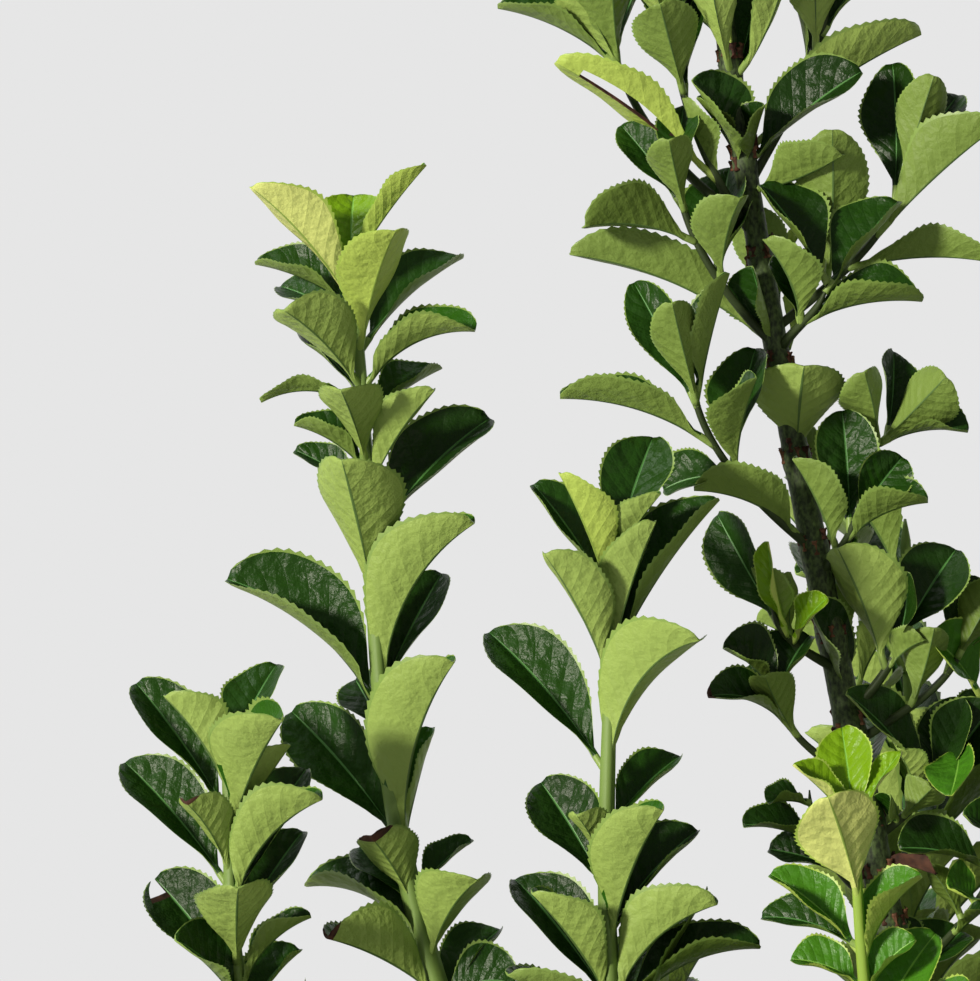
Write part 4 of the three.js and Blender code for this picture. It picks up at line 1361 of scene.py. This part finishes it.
COMPOST_RADIUS = 91.5
COMPOST_FOOT = (69, 11.4)  # radius and height of its lower edge, where the pot's wall meets its floor
ROOT_CROWN_RADIUS = 21  # of the root crown, round which the compost is level
CHIPS = 2600


def compost_height(x, y):
    """Height of the compost: lumpy, sunk by the pot's wall and nearly level round the root crown."""
    out = math.hypot(x, y)
    sunk = 0.8 + 5 * min(max((out - 74) / 15, 0), 1) ** 1.5
    lumps = noise.fractal(Vector((x / 7, y / 7, 0.3)), 0.8, 2.1, 5)
    return SOIL_TOP - sunk + 1.5 * lumps * min(1, abs(out - ROOT_CROWN_RADIUS) / 6 + 0.15)


class SPINDLE_OT_compost(bpy.types.Operator):
    """Compost with crumbs and chips of bark"""

    bl_idname = "spindle.compost"
    bl_label = "Compost"

    def execute(self, context):
        lay_compost()
        scatter_chips()
        return {"FINISHED"}


def lay_compost():
    """The bed of compost, lumpy on top and closed down to the pot's floor."""
    rings, sides = 60, 200
    angles = np.arange(sides) * 2 * np.pi / sides
    circle = np.stack([np.cos(angles), np.sin(angles), np.zeros(sides)], -1)
    grid = [circle * COMPOST_RADIUS * i / rings for i in range(1, rings + 1)]
    points = np.concatenate([np.zeros((1, 3))] + grid)
    points[:, 2] = [compost_height(x, y) for x, y, _ in points]
    fan = np.arange(1, sides + 1)
    triangles = [np.stack([np.zeros(sides, int), fan, np.roll(fan, -1)], -1)]
    triangles.append(quads(rings, sides, True)[:, ::-1] + 1)
    # A skirt goes down inside the pot to the floor, so the compost is one closed body
    last = np.arange(sides) + 1 + (rings - 1) * sides
    foot_radius, foot = COMPOST_FOOT
    low = len(points) + np.arange(sides)
    points = np.concatenate([points, circle * foot_radius + [0, 0, foot], [[0, 0, foot]]])
    triangles.append(np.stack([last, low, np.roll(last, -1)], -1))
    triangles.append(np.stack([np.roll(last, -1), low, np.roll(low, -1)], -1))
    triangles.append(np.stack([low, np.full(sides, len(points) - 1), np.roll(low, -1)], -1))
    # Damp compost: nearly black between brown crumbs, and quite dull
    soil = patterned("damp_compost", ("#17100b", "#4a3524"), 3.5, 0.95, 1.2, detail=8.0)
    shape = Shape()
    shape.add(points, np.concatenate(triangles), 0)
    shape.piece("compost_bed", [soil], "compost", ["soil"])


def scatter_chips():
    """Crumbs and chips on the compost."""
    chips = Shape()
    rng = np.random.default_rng(7)
    cube = np.array([(x, y, z) for x in (-1, 1) for y in (-1, 1) for z in (-1, 1)], float)
    faces = np.array(
        [(0, 1, 3), (0, 3, 2), (4, 6, 7), (4, 7, 5), (0, 4, 5), (0, 5, 1)]
        + [(2, 3, 7), (2, 7, 6), (0, 2, 6), (0, 6, 4), (1, 5, 7), (1, 7, 3)]
    )
    for _ in range(CHIPS):
        out, a = 88 * math.sqrt(rng.uniform(0.055, 1)), rng.uniform(0, 2 * math.pi)
        size = rng.uniform(0.5, 1.3) if rng.random() < 0.8 else rng.uniform(1.4, 3.4)
        box = cube * np.array([size, size * rng.uniform(0.4, 0.9), size * rng.uniform(0.3, 0.7)])
        box *= rng.uniform(0.7, 1.2, box.shape)
        turn, tilt = rng.uniform(0, 2 * math.pi), rng.uniform(-0.5, 0.5)
        spin = np.array(Matrix.Rotation(turn, 3, "Z") @ Matrix.Rotation(tilt, 3, "X"))
        x, y = out * math.cos(a), out * math.sin(a)
        kind = rng.choice([0, 1, 2], p=[0.55, 0.33, 0.12])
        chips.add(box @ spin.T + np.array([x, y, compost_height(x, y) + size * 0.15]), faces, int(kind))
    # Crumbs are as the bed, bark is redder and wood fibre pale, all of them dull and broken
    finishes = [
        patterned("compost_crumbs", ("#1d140d", "#3d2b1d"), 2, 0.95, 0.4),
        patterned("bark_chips", ("#3a2517", "#6d4a30"), 2, 0.85, 0.4),
        patterned("wood_fibre_chips", ("#6b5236", "#a5865c"), 1, 0.85, 0.3),
    ]
    chips.piece("compost_chips", finishes, "compost", [])


class SPINDLE_OT_bark(bpy.types.Operator):
    """Bark of the root crown, the leader and the boughs"""

    bl_idname = "spindle.bark"
    bl_label = "Bark"

    def execute(self, context):
        curves = limb_curves()
        limb_bark(curves, context.scene.spindle_colours)
        bud_scales(curves["leader"])
        root_crown_bark()
        return {"FINISHED"}


def limb_bark(curves, colours):
    """The bare lower part of each limb, swollen at the leader's nodes."""
    tints = tuple(colours.bark_dark), tuple(colours.bark_light)
    # Grey green skin that is turning to bark: dull, with a fine mottle that is drawn out along the stem
    bark = patterned("smooth_grey_green_bark", tints, 0.7, 0.6, 0.2, stretch=(1, 1, 0.6))
    for limb in LIMBS:
        close = limb.name == "leader"
        shares, spots, alongs = along_curve(curves[limb.name], 0, limb.bare, 0.6 if close else 1.5)
        sides = 32 if close else 16
        radii = np.array([[mixed(limb.radii, share)] * sides for share in shares])
        angles = np.arange(sides) * 2 * np.pi / sides
        for i, spot in enumerate(spots):
            for k, angle in enumerate(angles):
                place = Vector((math.cos(angle) * 1.6, math.sin(angle) * 1.6, spot[2] / 5))
                fine = Vector((math.cos(angle) * 5, math.sin(angle) * 5, spot[2] / 1.6))
                radii[i, k] *= 1 + 0.02 * noise.noise(place) + 0.03 * noise.noise(fine)
        if close:
            for height, _, _ in TIERS:
                radii *= 1 + 0.14 * np.exp(-(((spots[:, 2] - height) / 2.6) ** 2))[:, None]
        shape = Shape()
        points, triangles = tube(spots, alongs, np.zeros(len(spots)), radii)
        shape.add(points, triangles, 0)
        shape.piece(limb.name + "_bark", [bark], "bark", [limb.name + "_stem"])


def bud_scales(leader):
    """Withered bud scales, which lie against the leader round its nodes."""
    scales = Shape()
    rng = np.random.default_rng(23)
    pattern = LeafPattern(5, 1, (0.5,))
    for height in NODE_HEIGHTS:
        share = share_at_height(leader, height)
        for number in range(SCALES):
            leaf = {
                "spot": leader.at(share) + UP * rng.uniform(-2.2, 2.6),
                "along": leader.along(share),
                "inside": mixed(LIMBS[0].radii, share) * 0.98,
                "turn": 360 * number / SCALES + rng.uniform(-14, 14),
                "length": rng.uniform(1.8, 3.2),
                "width": rng.uniform(1.4, 2.4),
                "foot": rng.uniform(2, 12),
                "end": rng.uniform(14, 48),
            }
            bleached = int(rng.random() < 0.35)
            scales.add(pattern.bend(leaf, rng), pattern.triangles, bleached)
    # Dead and papery: red brown, and paler where the sun has reached them
    finishes = [
        patterned("withered_bud_scales", ("#2c1812", "#5f3625"), 1.2, 0.8, 0.2),
        patterned("bleached_bud_scales", ("#4a2e20", "#84593f"), 1.2, 0.8, 0.2),
    ]
    scales.piece("bud_scales", finishes, "bark", [])


# Radius, height and rounding of each corner of the root crown's outline, which starts on the compost
ROOT_CROWN_OUTLINE = (
    (0, 173.3, 0),
    (ROOT_CROWN_RADIUS, 173.3, 2),
    (17, 180.3, 4),
    (15, 187.3, 4),
    (9, 193.3, 4),
    (0, 195.7, 0),
)


def root_crown_bark():
    """The knobbly woody foot from which the stems rise."""
    crown = rounded(ROOT_CROWN_OUTLINE)
    sides = 64
    points = []
    for radius, height in crown:
        for k in range(sides):
            a = k * 2 * math.pi / sides
            x, y = math.cos(a), math.sin(a)
            r = radius
            if radius > 0.5:
                r += 1.4 * noise.noise(Vector((x * 2.2, y * 2.2, height / 9)))
                r += 0.5 * noise.noise(Vector((x * 7, y * 7, height / 2.4)))
            points.append((r * x, r * y, height))
    # Old bark: grey and brown scales, rough and quite dull
    old = patterned("scaly_brown_bark", ("#3b2c20", "#77614a"), 2.5, 0.85, 0.8)
    shape = Shape()
    shape.add(np.array(points), quads(len(crown), sides, True), 0)
    shape.piece("root_crown_bark", [old], "bark", ["root_crown"])


class SPINDLE_OT_shoots(bpy.types.Operator):
    """Green stems of the leafy shoots, with their end buds"""

    bl_idname = "spindle.shoots"
    bl_label = "Green shoots"

    def execute(self, context):
        finishes = [
            smooth_green("green_shoot_skin", tuple(context.scene.spindle_colours.shoot), 0.5),
            smooth_green("young_shoot_skin", linear("#93b345"), 0.45),
            smooth_green("old_shoot_skin", linear("#33421f"), 0.6),
        ]
        skins = {"front_young": 1, "leader": 2}
        shapes = {group: Shape() for group in SHOOT_GROUPS}
        for shoot in grow(limb_curves()):
            if not shoot.drawn:
                continue
            shares, spots, alongs = along_curve(shoot.curve, shoot.start, 1, 1.5)
            sides = 12
            left = (1 - shares) * shoot.curve.length
            turns = shoot.turn + 45 + DRIFT * left / shoot.step
            angles = np.arange(sides) * 2 * np.pi / sides
            # A young spindle stem has four blunt corners
            ridge = 1 + 0.1 * np.cos(4 * angles)
            radii = np.array([mixed(shoot.radii, share) * ridge for share in shares])
            # The end narrows to a bud
            radii *= np.clip(left / BUD_LONG, 0.1, 1)[:, None] ** 0.6
            points, triangles = tube(spots, alongs, turns, radii)
            shapes[shoot.group].add(points, triangles, skins.get(shoot.limb, 0))
        for group, shape in shapes.items():
            shape.piece("green_shoots_" + group, finishes, "foliage", [])
        return {"FINISHED"}


class SPINDLE_OT_leaves(bpy.types.Operator):
    """Toothed leaves in opposite pairs"""

    bl_idname = "spindle.leaves"
    bl_label = "Leaves"

    def execute(self, context):
        tooth = context.scene.spindle_sizes.tooth
        fine = LeafPattern(TEETH, 3, (0.03, 0.34, 0.68, 0.96), tooth)
        plain = LeafPattern(12, 2, (0.05, 0.5, 0.95), tooth)
        finishes = leaf_finishes()
        rng = np.random.default_rng(11)
        shapes, nodes = {}, {}
        for shoot in grow(limb_curves()):
            shape = shapes.setdefault(shoot.group, Shape())
            if shoot.node:
                nodes.setdefault(shoot.group, []).append(shoot.node)
            if not shoot.drawn:
                continue
            pattern = fine if shoot.fine else plain
            for leaf in shoot.leaves:
                # The values that the photograph gives a leaf stay, and the rest are drawn at random
                leaf.setdefault("age_and_shade", age_of(shoot.limb, leaf["rank"], rng))
                leaf.setdefault("twist", rng.normal(0, 8))
                leaf.setdefault("fold", FOLD_DEG + rng.normal(0, 5))
                if "gap" not in leaf and rng.random() < 0.05:
                    leaf["dead_tip"] = rng.uniform(0.02, 0.08)
                triangles, ids = leaf_faces(pattern, leaf)
                shape.add(pattern.bend(leaf, rng), triangles, ids, pattern.uv, pattern.edge)
        for group, shape in shapes.items():
            shape.piece("leaves_" + group, finishes, "foliage", nodes[group], with_uv=True)
        return {"FINISHED"}


class SPINDLE_PT_panel(bpy.types.Panel):
    """Makes the pieces one by one"""

    bl_idname = "SPINDLE_PT_panel"
    bl_label = "Potted Spindle"
    bl_space_type = "VIEW_3D"
    bl_region_type = "UI"
    bl_category = "Spindle"

    def draw(self, context):
        for operator in OPERATORS:
            self.layout.operator(operator.bl_idname)
        for group in (context.scene.spindle_sizes, context.scene.spindle_colours):
            for name in group.__annotations__:
                self.layout.prop(group, name)


OPERATORS = (
    SPINDLE_OT_stage,
    SPINDLE_OT_pot,
    SPINDLE_OT_compost,
    SPINDLE_OT_bark,
    SPINDLE_OT_shoots,
    SPINDLE_OT_leaves,
)
CLASSES = (SpindleSizes, SpindleColours, *OPERATORS, SPINDLE_PT_panel)


def register():
    for cls in CLASSES:
        bpy.utils.register_class(cls)
    bpy.types.Scene.spindle_sizes = bpy.props.PointerProperty(type=SpindleSizes)
    bpy.types.Scene.spindle_colours = bpy.props.PointerProperty(type=SpindleColours)


def unregister():
    del bpy.types.Scene.spindle_sizes
    del bpy.types.Scene.spindle_colours
    for cls in reversed(CLASSES):
        bpy.utils.unregister_class(cls)


def main():
    register()
    bpy.ops.spindle.stage()
    bpy.ops.spindle.pot()
    bpy.ops.spindle.compost()
    bpy.ops.spindle.bark()
    bpy.ops.spindle.shoots()
    bpy.ops.spindle.leaves()
    bpy.context.view_layer.update()


if __name__ == "__main__":
    main()
